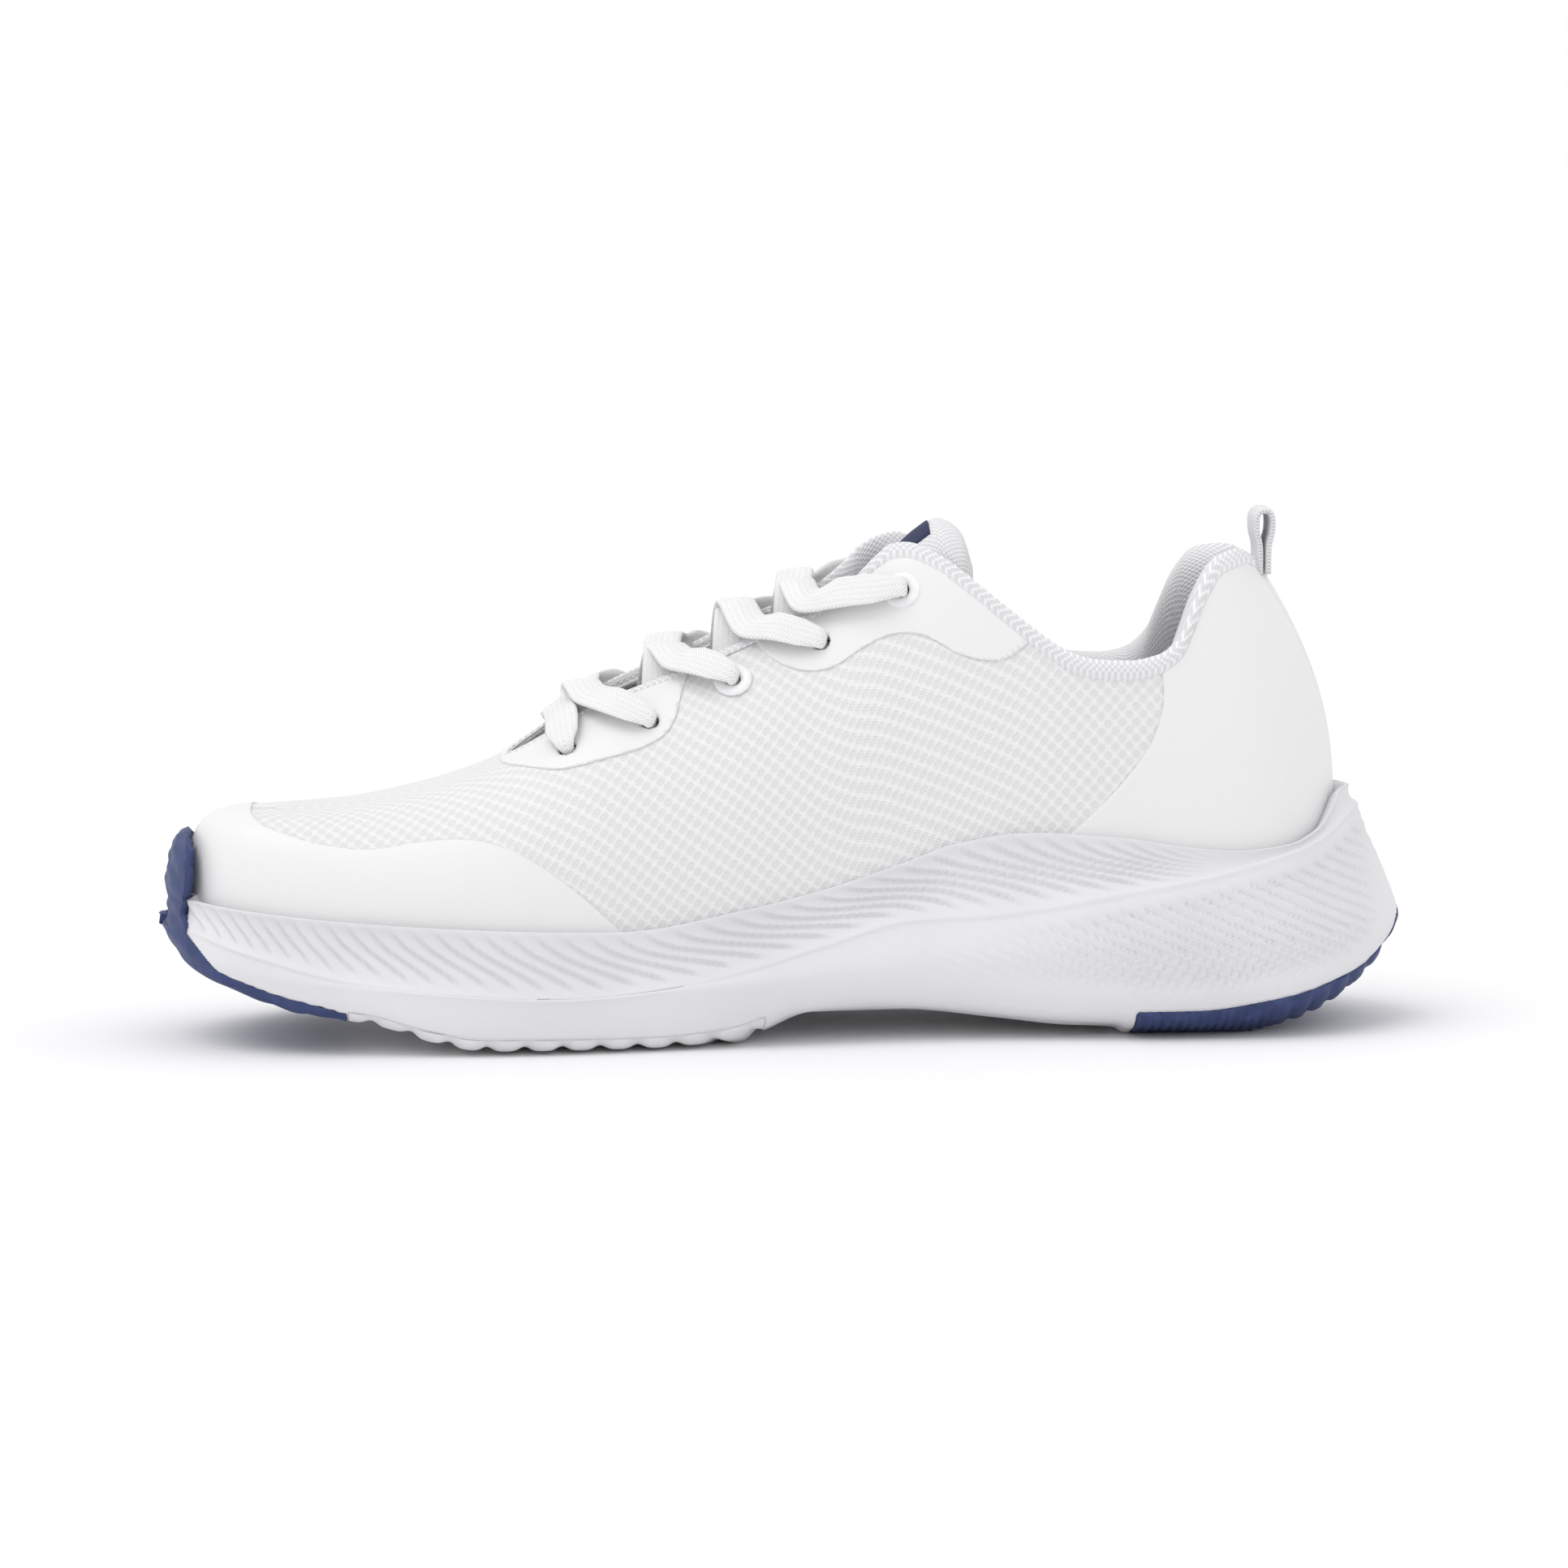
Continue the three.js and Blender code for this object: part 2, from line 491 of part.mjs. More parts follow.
// One crossing: from behind the flap at eyelet a on one side, over the ridge and down to eyelet b.
function crossing(side, a, b, { leave, land }) {
  const [start, end] = [leave, land].map((share) => mix(a.x, b.x, share));
  const middle = (start + end) / 2;
  return ribbon([
    ...flapRun(-side, start, a, LACE_IN).toReversed(),
    [new THREE.Vector3(middle, ridgeSide(middle), crown(middle) + 2 * LACE.thickness), UP],
    ...flapRun(side, end, b, LACE_OUT),
  ]);
}
const firstBar = () => {
  const [medial, lateral] = [-1, 1].map((side) => flapRun(side, EYELETS[0].x, EYELETS[0], LACE_OUT));
  return ribbon([...medial.toReversed(), ...lateral]);
};
const laceCore = (side, eyelet) => {
  const length = LACE_IN - LACE_OUT + LACE.thickness * 0.6;
  const core = new THREE.CylinderGeometry(LACE.core, LACE.core, length, 8);
  return solidOf(onSkin(core, side, eyelet, (LACE_IN + LACE_OUT) / 2));
};
// [x, z, extra depth] of an end tucked in behind its flap.
const TAIL = [[26, 107.5, 0], [16, 97, 0.5], [4, 84, 1.2], [-10, 72, 2]];
const AGLET_LENGTH = 20;
const tail = (side) => {
  const stations = TAIL.map(([x, z, extra]) => laceStation(side, { x, z }, LACE_IN + extra));
  return ribbon(stations, LACE.width * 0.8);
};
const aglet = (side) => {
  const [from, to] = TAIL.slice(-2).map(([x, z, extra]) => underSkin(side, x, z, LACE_IN + extra));
  const forward = to.clone().sub(from).normalize();
  const middle = to.clone().addScaledVector(forward, GAP + AGLET_LENGTH / 2);
  const turn = new THREE.Quaternion().setFromUnitVectors(new THREE.Vector3(0, 1, 0), forward);
  const rod = new THREE.CylinderGeometry(1.4, 1.4, AGLET_LENGTH, 10);
  return solidOf(rod.applyQuaternion(turn).translate(...middle));
};
const lace = () =>
  union([
    firstBar(),
    ...SIDES.flatMap(({ side }) => [
      ...EYELETS.map((eyelet) => laceCore(side, eyelet)),
      ...EYELETS.slice(1).map((eyelet, i) => crossing(side, EYELETS[i], eyelet, CROSSINGS[i])),
      tail(side),
    ]),
  ]);

// ---------------------------------------------------------------- the sole
// Closed body of the whole sole, drawn in by a depth.
function soleForm(depth) {
  const level = (inset, height) =>
    SOLE_STATIONS.map(({ point, inward }) => {
      const outer = point.clone().addScaledVector(inward, inset(point.x));
      const place = outer.clone().addScaledVector(inward, depth);
      return new THREE.Vector3(place.x, place.y, height(outer.x) + (height === biteLine ? 0 : depth));
    });
  return bodyFromRings([
    level(treadInset, bottomZ),
    level(edgeInset, edgeZ),
    level(() => 0, bellyZ),
    level(partingInset, partingZ),
    level(rimInset, biteLine),
  ]);
}
const treadShell = (grow) => soleForm(grow ? -1 : 0).subtract(soleForm(RUBBER + grow));

const padTop = (x) => edgeZ(x) + RUBBER + 0.4;
const toeRubberSide = (grow) => {
  const [back, bend] = [-106.8, -144.8];
  const top = along((x) => padTop(x) + grow, back, bend, 8);
  const corner = [bend + grow, top.at(-1)[1]];
  return sideBlock([
    [-160, -20], [back + grow, -20], [back + grow, top[0][1]], ...top.slice(0, -1), corner,
    [corner[0], 49 + grow], [-160, 50 + grow],
  ]);
};
const forefootSide = (grow) => sideBlock(below((x) => edgeZ(x) + 1.6 + grow, -106.2 - grow, -8 + grow, 14));
const heelRubberSide = (grow) => sideBlock(below((x) => edgeZ(x) + 1.4 + grow, 81.6 - grow, 160, 10));

const bumper = (grow) => shellBetween(-BUMPER - grow, -GAP).intersect(toeRubberSide(grow));
const toeRubber = () =>
  treadShell(0).intersect(toeRubberSide(0)).subtract(footForm(-GAP, GAP)).add(bumper(0));

// Rounded grooves across the forefoot pad, one lug apart.
const lugGrooves = () =>
  union(
    steps(8).map((t) => mix(-96, -20, t)).map((x) => {
      const groove = new THREE.CylinderGeometry(LUG_GROOVE, LUG_GROOVE, 2 * FAR, 6);
      return solidOf(groove.translate(x, 0, bottomZ(x)));
    }),
  );
const heelTeeth = () =>
  union(
    steps(9).map((t) => mix(86, 138, t)).map((x) => {
      const groove = new THREE.CylinderGeometry(0.9, 0.9, 2 * FAR, 4);
      return solidOf(groove.translate(x, 0, bottomZ(x)));
    }),
  );

const midsole = () =>
  soleForm(0)
    .subtract(footForm(-GAP, GAP))
    .subtract(treadShell(GAP).intersect(union([toeRubberSide(GAP), forefootSide(GAP), heelRubberSide(GAP)])))
    .subtract(bumper(GAP));

// ---------------------------------------------------------------- pieces inside the shoe
// The bed is straight between two stations, so what lies on it bends at the same stations.
const BED = UPPER_STATIONS.slice(0, SIDE_STATIONS + 1).map(({ point }) => [point.x, footBed(point.x)]);
const raisedBed = (height) => BED.map(([x, z]) => [x, z + height]);
const bedSlab = (from, thickness) =>
  sideBlock([...raisedBed(from), ...raisedBed(from + thickness).toReversed()]);
const aboveBoard = () => sideBlock([...raisedBed(3 * GAP + BOARD), [FAR, FAR], [-FAR, FAR]]);
const strobelBoard = () => footForm(MESH.inner + GAP, SPILL).intersect(bedSlab(2 * GAP, BOARD));
const sockliner = () =>
  footForm(LINING.inner + 1.6, SPILL).intersect(bedSlab(3 * GAP + BOARD, SOCKLINER));

const upperMesh = () => shellBetween(MESH.outer, MESH.inner).subtract(OPENINGS).subtract(BORES);
const film = (block) => shellBetween(0, OVERLAY).intersect(block).subtract(OPENINGS).subtract(BORES);
const stiffener = (block) =>
  shellBetween(STIFFENER.outer, STIFFENER.inner).intersect(block).intersect(aboveBoard()).subtract(OPENINGS);
const toePuff = () => stiffener(sideBlock([[-160, 0], [-112, 0], [-122, 90], [-160, 90]]));
const heelCounter = () => stiffener(sideBlock([[78, 0], [160, 0], [160, 82], [112, 82], [92, 64]]));
const throatTape = (side) =>
  stiffener(
    sideBlock([[-60, 66], [-30, 71], [5, 88], [36, 100], [36, 140], [-60, 140]], ...sideOf(side)),
  ).subtract(BORES);
const openedShell = (outer, inner, block) =>
  footForm(outer).subtract(footForm(inner, SPILL)).intersect(block).subtract(OPENINGS).subtract(BORES);
const lining = (block) =>
  openedShell(liningDepth(LINING.outer), liningDepth(LINING.inner), block.intersect(aboveBoard()));
const LINING_JOIN = 12; // x at which the vamp lining meets the collar lining
const vampLining = () =>
  lining(sideBlock([[-160, 0], [LINING_JOIN, 0], [LINING_JOIN, 160], [-160, 160]]));
const collarLining = () => {
  const front = LINING_JOIN + GAP;
  return lining(sideBlock([[front, 0], [160, 0], [160, 160], [front, 160]]));
};
const collarFoam = () => openedShell(STIFFENER.outer, liningDepth(LINING.outer - GAP), collarBand());

// ---------------------------------------------------------------- the pull loop
// Webbing folded into a flat loop on a round foot, which its hinge axis runs through.
function pullLoop() {
  const half = LOOP.thickness + LOOP.slot / 2;
  const outline = new THREE.Shape();
  outline.absarc(0, 0, half, Math.PI, 2 * Math.PI);
  outline.lineTo(half, LOOP.height - half);
  outline.absarc(0, LOOP.height - half, half, 0, Math.PI);
  const slot = new THREE.Path();
  const slotTop = LOOP.height - LOOP.thickness;
  slot.moveTo(-LOOP.slot / 2, 1).lineTo(LOOP.slot / 2, 1);
  slot.lineTo(LOOP.slot / 2, slotTop).lineTo(-LOOP.slot / 2, slotTop);
  outline.holes.push(slot);
  const webbing = new THREE.ExtrudeGeometry(outline, {
    depth: LOOP.width,
    bevelEnabled: false,
    curveSegments: 8,
  });
  return solidOf(webbing.rotateX(Math.PI / 2).translate(LOOP.x, LOOP.width / 2, LOOP.z));
}

// ---------------------------------------------------------------- the shoe
const group = new THREE.Group();
function add(name, solid, finish) {
  const bodies = solid.decompose().sort((a, b) => b.volume() - a.volume()); // a cut can leave a sliver behind
  const { vertProperties, triVerts } = bodies[0].getMesh();
  const geometry = new THREE.BufferGeometry();
  geometry.setAttribute("position", new THREE.BufferAttribute(vertProperties, 3));
  geometry.setIndex(new THREE.BufferAttribute(triVerts, 1));
  const mesh = new THREE.Mesh(geometry, new THREE.MeshStandardMaterial(FINISH[finish]));
  mesh.name = name;
  group.add(mesh);
}

add("midsole", midsole(), "foam");
add("outsole_toe_rubber", toeRubber(), "rubber");
add("outsole_forefoot", treadShell(0).intersect(forefootSide(0)).subtract(lugGrooves()), "whiteRubber");
add("outsole_heel_rubber", treadShell(0).intersect(heelRubberSide(0)).subtract(heelTeeth()), "rubber");
add("strobel_board", strobelBoard(), "board");
add("sockliner", sockliner(), "lining");
add("upper_mesh", upperMesh(), "mesh");
add("toe_overlay", film(toeOverlay()), "film");
add("front_eyestay", film(frontEyestay()), "film");
add("heel_tape", film(tapeBlock(0)), "film");
add("toe_puff", toePuff(), "stiffener");
add("heel_counter", heelCounter(), "stiffener");
add("vamp_lining", vampLining(), "lining");
add("collar_lining", collarLining(), "mesh");
add("collar_foam", collarFoam(), "padding");
for (const { side, name } of SIDES) {
  add(`eyestay_${name}`, film(upperEyestay(side)), "film");
  add(`heel_panel_${name}`, film(heelPanel(side)).subtract(tapeBlock(GAP)), "film");
  add(`throat_tape_${name}`, throatTape(side), "stiffener");
  EYELETS.forEach((eyelet, i) => {
    if (!eyelet.ringed) return;
    add(`eyelet_ring_${name}_${i + 1}`, ring(side, eyelet), "ring");
    add(`eyelet_washer_${name}_${i + 1}`, washer(side, eyelet), "ring");
  });
  add(`aglet_${name}`, aglet(side), "patch");
}
add("tongue_shell", tongueSlab(0, TONGUE.shell), "mesh");
add("tongue_foam", tongueSlab(TONGUE.shell + GAP, TONGUE.shell + GAP + TONGUE.foam, 1), "padding");
const liningTop = TONGUE.shell + TONGUE.foam + 2 * GAP;
add("tongue_lining", tongueSlab(liningTop, liningTop + TONGUE.lining), "lining");
const labelRings = TONGUE_RINGS.slice(10, 13); // the patch lies between these rings, below the roll
add(
  "tongue_label",
  tongueSlab(-3 * GAP - TONGUE.label, -3 * GAP, 0, labelRings, TONGUE_SHARES.slice(1, -1)),
  "patch",
);
add("lace", lace(), "lace");
add("pull_loop", pullLoop(), "mesh");

// The origin goes under the middle of the shoe's outline.
const box = new THREE.Box3().setFromObject(group);
const middle = box.getCenter(new THREE.Vector3());
group.position.set(-middle.x, -middle.y, -box.min.z);

export default group;
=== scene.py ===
import math

import bpy
import numpy as np
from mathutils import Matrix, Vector


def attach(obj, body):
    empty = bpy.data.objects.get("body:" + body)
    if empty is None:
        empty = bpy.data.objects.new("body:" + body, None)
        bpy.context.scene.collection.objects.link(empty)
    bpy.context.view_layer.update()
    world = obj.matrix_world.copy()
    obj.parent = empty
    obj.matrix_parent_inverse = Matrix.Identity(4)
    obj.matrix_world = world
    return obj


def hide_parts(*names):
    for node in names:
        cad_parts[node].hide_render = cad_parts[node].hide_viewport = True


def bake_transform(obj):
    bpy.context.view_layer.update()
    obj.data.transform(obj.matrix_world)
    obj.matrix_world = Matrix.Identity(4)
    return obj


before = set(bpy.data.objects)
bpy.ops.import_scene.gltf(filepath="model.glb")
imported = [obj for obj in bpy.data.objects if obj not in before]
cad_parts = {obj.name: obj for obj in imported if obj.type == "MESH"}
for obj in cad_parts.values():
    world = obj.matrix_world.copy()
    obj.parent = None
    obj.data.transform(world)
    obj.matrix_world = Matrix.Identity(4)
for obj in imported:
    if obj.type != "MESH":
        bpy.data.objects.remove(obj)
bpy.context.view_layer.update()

MM = 0.001  # lengths in this script are millimetres, and each mesh is scaled to metres as it is made
SIDES = {"medial": -1, "lateral": 1}

# ---------------------------------------------------------------- camera and stage
AIM = Vector((-0.0005, 0.0, 0.0582))
CAMERA = {"distance": 1.4, "azimuth": -4.0, "elevation": 6.7, "frame_width": 0.3815, "sensor": 36.0}


def make_camera():
    """A long lens on the medial side, a little above the shoe."""
    azimuth, elevation = math.radians(CAMERA["azimuth"]), math.radians(CAMERA["elevation"])
    away = Vector((
        math.sin(azimuth) * math.cos(elevation),
        -math.cos(azimuth) * math.cos(elevation),
        math.sin(elevation),
    ))
    data = bpy.data.cameras.new("camera")
    data.sensor_width = CAMERA["sensor"]
    data.lens = CAMERA["sensor"] * CAMERA["distance"] / CAMERA["frame_width"]
    data.clip_end = 20
    camera = bpy.data.objects.new("camera", data)
    camera.location = AIM + away * CAMERA["distance"]
    camera.rotation_euler = (-away).to_track_quat("-Z", "Y").to_euler()
    bpy.context.collection.objects.link(camera)
    bpy.context.scene.camera = camera


def add_sun(name, direction, strength, softness):
    """A soft sun that shines along a direction. It lights the floor evenly, like a wide studio bank."""
    data = bpy.data.lights.new(name, "SUN")
    data.energy = strength
    data.angle = math.radians(softness)
    light = bpy.data.objects.new(name, data)
    light.rotation_euler = Vector(direction).to_track_quat("-Z", "Y").to_euler()
    bpy.context.collection.objects.link(light)


def make_stage():
    """Pale floor, a soft key from above and the toe side, and a weak fill from the front."""
    bpy.ops.mesh.primitive_plane_add(size=60, location=(0, 0, -0.0002))
    floor = bpy.context.object
    floor.name = "floor"
    shade = Shader("floor_paper", (0.86, 0.86, 0.87), 0.9)
    floor.data.materials.append(shade.material)
    world = bpy.data.worlds.new("studio")
    world.use_nodes = True
    world.node_tree.nodes["Background"].inputs["Color"].default_value = (1, 1, 1, 1)
    world.node_tree.nodes["Background"].inputs["Strength"].default_value = 1.0
    bpy.context.scene.world = world
    add_sun("key", (0.45, 0.25, -1.0), 0.75, 40)
    add_sun("fill", (-0.25, 1.0, -0.25), 0.1, 60)
    bpy.context.scene.view_settings.view_transform = "Standard"


# ---------------------------------------------------------------- shaders
class Shader:
    """A principled material and short calls for the nodes that drive it."""

    def __init__(self, name, color, roughness, sheen=0.0):
        self.material = bpy.data.materials.new(name)
        self.material.use_nodes = True
        self.tree = self.material.node_tree
        self.surface = self.tree.nodes["Principled BSDF"]
        self.surface.inputs["Base Color"].default_value = (*color, 1)
        self.surface.inputs["Roughness"].default_value = roughness
        self.surface.inputs["Sheen Weight"].default_value = sheen

    def node(self, kind, inputs=(), **settings):
        made = self.tree.nodes.new("ShaderNode" + kind)
        for key, value in settings.items():
            setattr(made, key, value)
        for key, value in dict(inputs).items():
            if isinstance(value, bpy.types.NodeSocket):
                self.tree.links.new(value, made.inputs[key])
            else:
                made.inputs[key].default_value = value
        return made.outputs[0]

    def math(self, operation, a, b=0.0):
        return self.node("Math", {0: a, 1: b}, operation=operation)

    def scaled(self, vector, scale, offset=(0, 0, 0)):
        inputs = {"Vector": vector, "Scale": scale, "Location": offset}
        return self.node("Mapping", inputs)

    def pattern(self):
        """Coordinates over the fabric, in millimetres."""
        return self.node("UVMap", uv_map="fabric")

    def position(self):
        """Coordinates of the piece, in metres."""
        return self.tree.nodes.new("ShaderNodeTexCoord").outputs["Object"]

    def noise(self, vector, scale, detail=3.0):
        return self.node("TexNoise", {"Vector": vector, "Scale": scale, "Detail": detail})

    def waves(self, value, rate):
        """Ridges from 0 to 1, with round tops."""
        return self.math("ABSOLUTE", self.math("SINE", self.math("MULTIPLY", value, rate)))

    def ramp(self, value, low, high):
        """0 below low, 1 above high, and smooth between."""
        inputs = {"Value": value, "From Min": low, "From Max": high}
        return self.node("MapRange", inputs, interpolation_type="SMOOTHSTEP")

    def tint(self, share, low, high):
        mix = self.tree.nodes.new("ShaderNodeMix")
        mix.data_type = "RGBA"
        self.tree.links.new(share, mix.inputs["Factor"])
        ends = {socket.name: socket for socket in mix.inputs if socket.type == "RGBA"}
        ends["A"].default_value = (*low, 1)
        ends["B"].default_value = (*high, 1)
        mixed = next(socket for socket in mix.outputs if socket.type == "RGBA")
        self.tree.links.new(mixed, self.surface.inputs["Base Color"])

    def bump(self, height, depth):
        """Relief of the given depth in millimetres."""
        inputs = {"Height": height, "Distance": depth * MM, "Strength": 1.0}
        self.tree.links.new(self.node("Bump", inputs), self.surface.inputs["Normal"])


def lattice_distance(shade, pattern, pitch):
    """Distance to the nearest point of a staggered lattice, in pitches."""
    scale = (1 / pitch[0], 1 / (2 * pitch[1]), 1)
    spots = []
    for shift in (0.0, 0.5):
        inputs = {"Vector": shade.scaled(pattern, scale, (shift, shift, 0)), "Scale": 1.0, "Randomness": 0.0}
        spots.append(shade.node("TexVoronoi", inputs, voronoi_dimensions="2D"))
    return shade.math("MINIMUM", *spots)


def knit_material(name, color, hollow_shade, pitch, depth):
    """Knitted mesh: staggered round dimples between plump yarns, coloured with painted shade that darkens the
    dimples.
    """
    shade = Shader(name, color, 0.88, sheen=0.15)
    pattern = shade.pattern()
    ridge = shade.ramp(lattice_distance(shade, pattern, pitch), 0.16, 0.42)
    threads = {"Vector": pattern, "Scale": 0.9, "Distortion": 1.5, "Detail": 1.0}
    yarn = shade.node("TexWave", threads, bands_direction="DIAGONAL")
    fuzz = shade.noise(pattern, 3.0)
    fine = shade.math("MULTIPLY", shade.math("ADD", yarn, fuzz), 0.3)
    height = shade.math("ADD", ridge, fine)
    # partly the yarn's own pattern, partly painted shade: low parts are tinted towards the darker
    # hollow_shade colour
    shade.tint(shade.ramp(height, 0.1, 1.3), hollow_shade, color)
    shade.bump(height, depth)
    return shade.material


def film_material():
    shade = Shader("film_overlay", (0.76, 0.76, 0.765), 0.45)
    grain = shade.noise(shade.position(), 900.0, 2.0)
    shade.bump(grain, 0.05)
    return shade.material


def foam_material():
    shade = Shader("midsole_foam", (0.7, 0.695, 0.715), 0.6)
    cloud = shade.noise(shade.position(), 22.0)
    shade.tint(shade.ramp(cloud, 0.3, 0.7), (0.675, 0.67, 0.695), (0.72, 0.715, 0.735))
    shade.bump(shade.noise(shade.position(), 1400.0, 2.0), 0.06)
    return shade.material


def rubber_material(name, color, worn):
    shade = Shader(name, color, 0.55)
    cloud = shade.noise(shade.position(), 260.0)
    shade.tint(shade.ramp(cloud, 0.35, 0.75), color, worn)
    shade.bump(cloud, 0.15)
    return shade.material


def lining_material():
    shade = Shader("spacer_lining", (0.80, 0.80, 0.82), 0.95, sheen=0.2)
    ridge = shade.ramp(lattice_distance(shade, shade.pattern(), (1.5, 0.7)), 0.14, 0.42)
    # painted shade: the spacer mesh is tinted darker in its dimples than on its ridges
    shade.tint(ridge, (0.66, 0.66, 0.68), (0.84, 0.84, 0.85))
    shade.bump(ridge, 0.16)
    return shade.material


RIBS = 6  # ribs across the width of a woven strip


def weave_material(name, color, shadow, width):
    """Flat woven lace or webbing: two rows of slanting picks that meet down the middle."""
    shade = Shader(name, color, 0.8, sheen=0.1)
    parts = shade.node("SeparateXYZ", {"Vector": shade.pattern()}).node
    along, across = parts.outputs["X"], parts.outputs["Y"]
    slant = shade.math("MULTIPLY", shade.math("ABSOLUTE", across), 1.1)
    picks = shade.waves(shade.math("ADD", shade.math("MULTIPLY", along, 1.25), slant), math.pi)
    ribs = shade.waves(across, math.pi * RIBS / width)
    height = shade.math("ADD", shade.math("MULTIPLY", picks, 0.6), shade.math("MULTIPLY", ribs, 0.4))
    shade.tint(shade.ramp(height, 0.1, 0.7), shadow, color)
    shade.bump(height, 0.22)
    return shade.material


def plain_material(name, color, roughness):
    """One colour with a faint fine grain."""
    shade = Shader(name, color, roughness)
    cloud = shade.noise(shade.position(), 400.0)
    low = tuple(c * 0.93 for c in color)
    shade.tint(shade.ramp(cloud, 0.3, 0.7), low, color)
    shade.bump(cloud, 0.05)
    return shade.material


# ---------------------------------------------------------------- curves
def curve(points):
    """Monotone smooth curve through [x, value] points, flat beyond its ends."""
    xs, ys = np.array(points, float).T
    secant = np.diff(ys) / np.diff(xs)
    product = secant[:-1] * secant[1:]
    total = np.where(secant[:-1] + secant[1:] == 0, 1, secant[:-1] + secant[1:])
    slope = np.concatenate([secant[:1], np.where(product <= 0, 0, 2 * product / total), secant[-1:]])

    def value(x):
        x = np.clip(x, xs[0], xs[-1])
        i = np.clip(np.searchsorted(xs, x, side="right") - 1, 0, len(xs) - 2)
        span = xs[i + 1] - xs[i]
        t = (x - xs[i]) / span
        bend = span * t * (1 - t) * ((1 - t) * slope[i] - t * slope[i + 1])
        return ys[i] + (ys[i + 1] - ys[i]) * t * t * (3 - 2 * t) + bend

    return value


def unit(v):
    return v / np.maximum(np.linalg.norm(v, axis=-1, keepdims=True), 1e-9)


def smooth(low, high, value):
    t = np.clip((value - low) / (high - low), 0, 1)
    return t * t * (3 - 2 * t)


def catmull_rom(a, b, c, d, t):
    """Point at a share t of the way from b to c, on a smooth curve that comes from a and goes on to d."""
    return 0.5 * (2 * b + (c - a) * t + (2 * a - 5 * b + 4 * c - d) * t**2 + (3 * (b - c) - a + d) * t**3)


def spline(points, count):
    """Points of a smooth curve through the given ones, count to each span."""
    p = np.array(points, float)
    padded = np.vstack([2 * p[0] - p[1], p, 2 * p[-1] - p[-2]])
    t = (np.arange(count) / count)[:, None]
    spans = [catmull_rom(*four, t) for four in zip(padded, padded[1:], padded[2:], padded[3:])]
    return np.vstack([*spans, p[-1:]])


# ---------------------------------------------------------------- profiles of the upper, as in the CAD
TOE_POLE, HEEL_POLE = -118, 80  # x where the sections start to fan round the toe and the heel
bite_line = curve([
    [-145.5, 35], [-108, 31.6], [-73, 29.7], [-41, 28.7], [-13, 32.8], [7, 37.2], [26, 43.1], [38, 47.4],
    [56, 50], [76, 48.8], [92, 46.4], [106, 45.1], [119, 46], [128, 49.2], [134.5, 57.2],
])
foot_bed = curve([
    [-145, 31], [-120, 23.5], [-90, 19], [-50, 17.5], [0, 22], [40, 27], [100, 29.5], [135, 30.5],
])
crown = curve([
    [-118, 56], [-106, 56.8], [-94, 59], [-83, 61.8], [-71, 66.2], [-62, 71.6], [-46, 82.3], [-24, 93],
    [-9, 101], [5, 107], [13, 113], [20, 120.5], [27, 126.5], [40, 136], [60, 147], [80, 150],
])
ridge_side = curve([[-118, -13], [-90, -11], [-60, -8], [0, -3], [60, 0]])
roundness = curve([
    [-145.5, 0.25], [-118, 0.42], [-90, 0.55], [-60, 0.68], [-30, 0.85], [0, 0.97], [80, 1.05], [120, 1.7],
    [134.5, 2],
])
bulge = curve([[-118, 0.01], [-80, 0.035], [-20, 0.03], [40, 0]])
collar_line = curve([
    [15, 112.4], [18, 114.6], [22.5, 117.2], [28, 118.4], [34.5, 116.2], [44, 109.4], [52, 103], [60, 96.8],
    [66, 93.1], [72, 91.4], [80, 91], [87, 92.3], [92, 95.7], [95, 102.1], [98, 109.2], [102, 114.6],
    [108, 116], [116, 111.6], [130, 111.2],
])
lateral_drop = curve([[30, 0], [60, 3.6], [84, 3.6], [98, 0]])
throat_half_width = curve([
    [-68, 0], [-66.5, 4], [-62, 7.5], [-54, 10], [-35, 13], [-15, 13.5], [7, 12.5], [30, 11],
])

# profiles of the sole, as in the CAD
bottom_z = curve([
    [-150, 23], [-145, 18.6], [-130, 12.9], [-118, 9.4], [-107, 7.8], [-98, 6], [-87, 2.8], [-78, 0.7],
    [-70, 0], [-15, 0], [-7, 3], [4, 6.8], [25, 6.8], [48, 4.6], [62, 3], [77, 1.6], [80, 0], [107, 0],
    [120, 2.5], [130, 6], [140, 12], [150, 22],
])
edge_z = curve([
    [-150, 26], [-145, 20.3], [-130, 14.1], [-118, 10.6], [-107, 9], [-98, 7.4], [-87, 4.2], [-75, 2.2],
    [-35, 1.8], [-18, 3], [-8, 5.5], [0, 8.6], [20, 9.6], [56, 7.4], [77, 6], [82, 5.4], [96, 5.5],
    [114, 7.8], [128, 10.8], [137, 13.8], [146, 20], [150, 26],
])
belly_z = curve([
    [-150, 26.8], [-145, 23.8], [-130, 18.5], [-100, 15], [-60, 12], [-20, 14], [30, 19], [100, 22],
    [150, 28],
])
parting_z = curve([
    [-142, 27.5], [-126, 22.6], [-106, 17.7], [-81, 14.9], [-53, 13.3], [-33, 14.8], [-13, 18.7], [7, 24.2],
    [27, 29.4], [46, 30.4], [80, 35.6], [96, 38.3], [114, 42.7], [126, 46], [138, 52.6],
])
tread_inset = curve([[-150, 6], [-120, 9], [-90, 11], [60, 11], [84, 15], [118, 14], [150, 6]])
edge_inset = curve([[-150, 1.5], [-60, 2], [20, 3.5], [100, 3.5], [150, 1.2]])
parting_inset = curve([[-150, 0.6], [-60, 0.4], [0, 1.4], [60, 2.2], [110, 4], [150, 10]])
rim_inset = curve([[-150, 1.6], [-60, 1.2], [0, 2.2], [60, 3], [105, 4], [130, 8], [150, 12]])

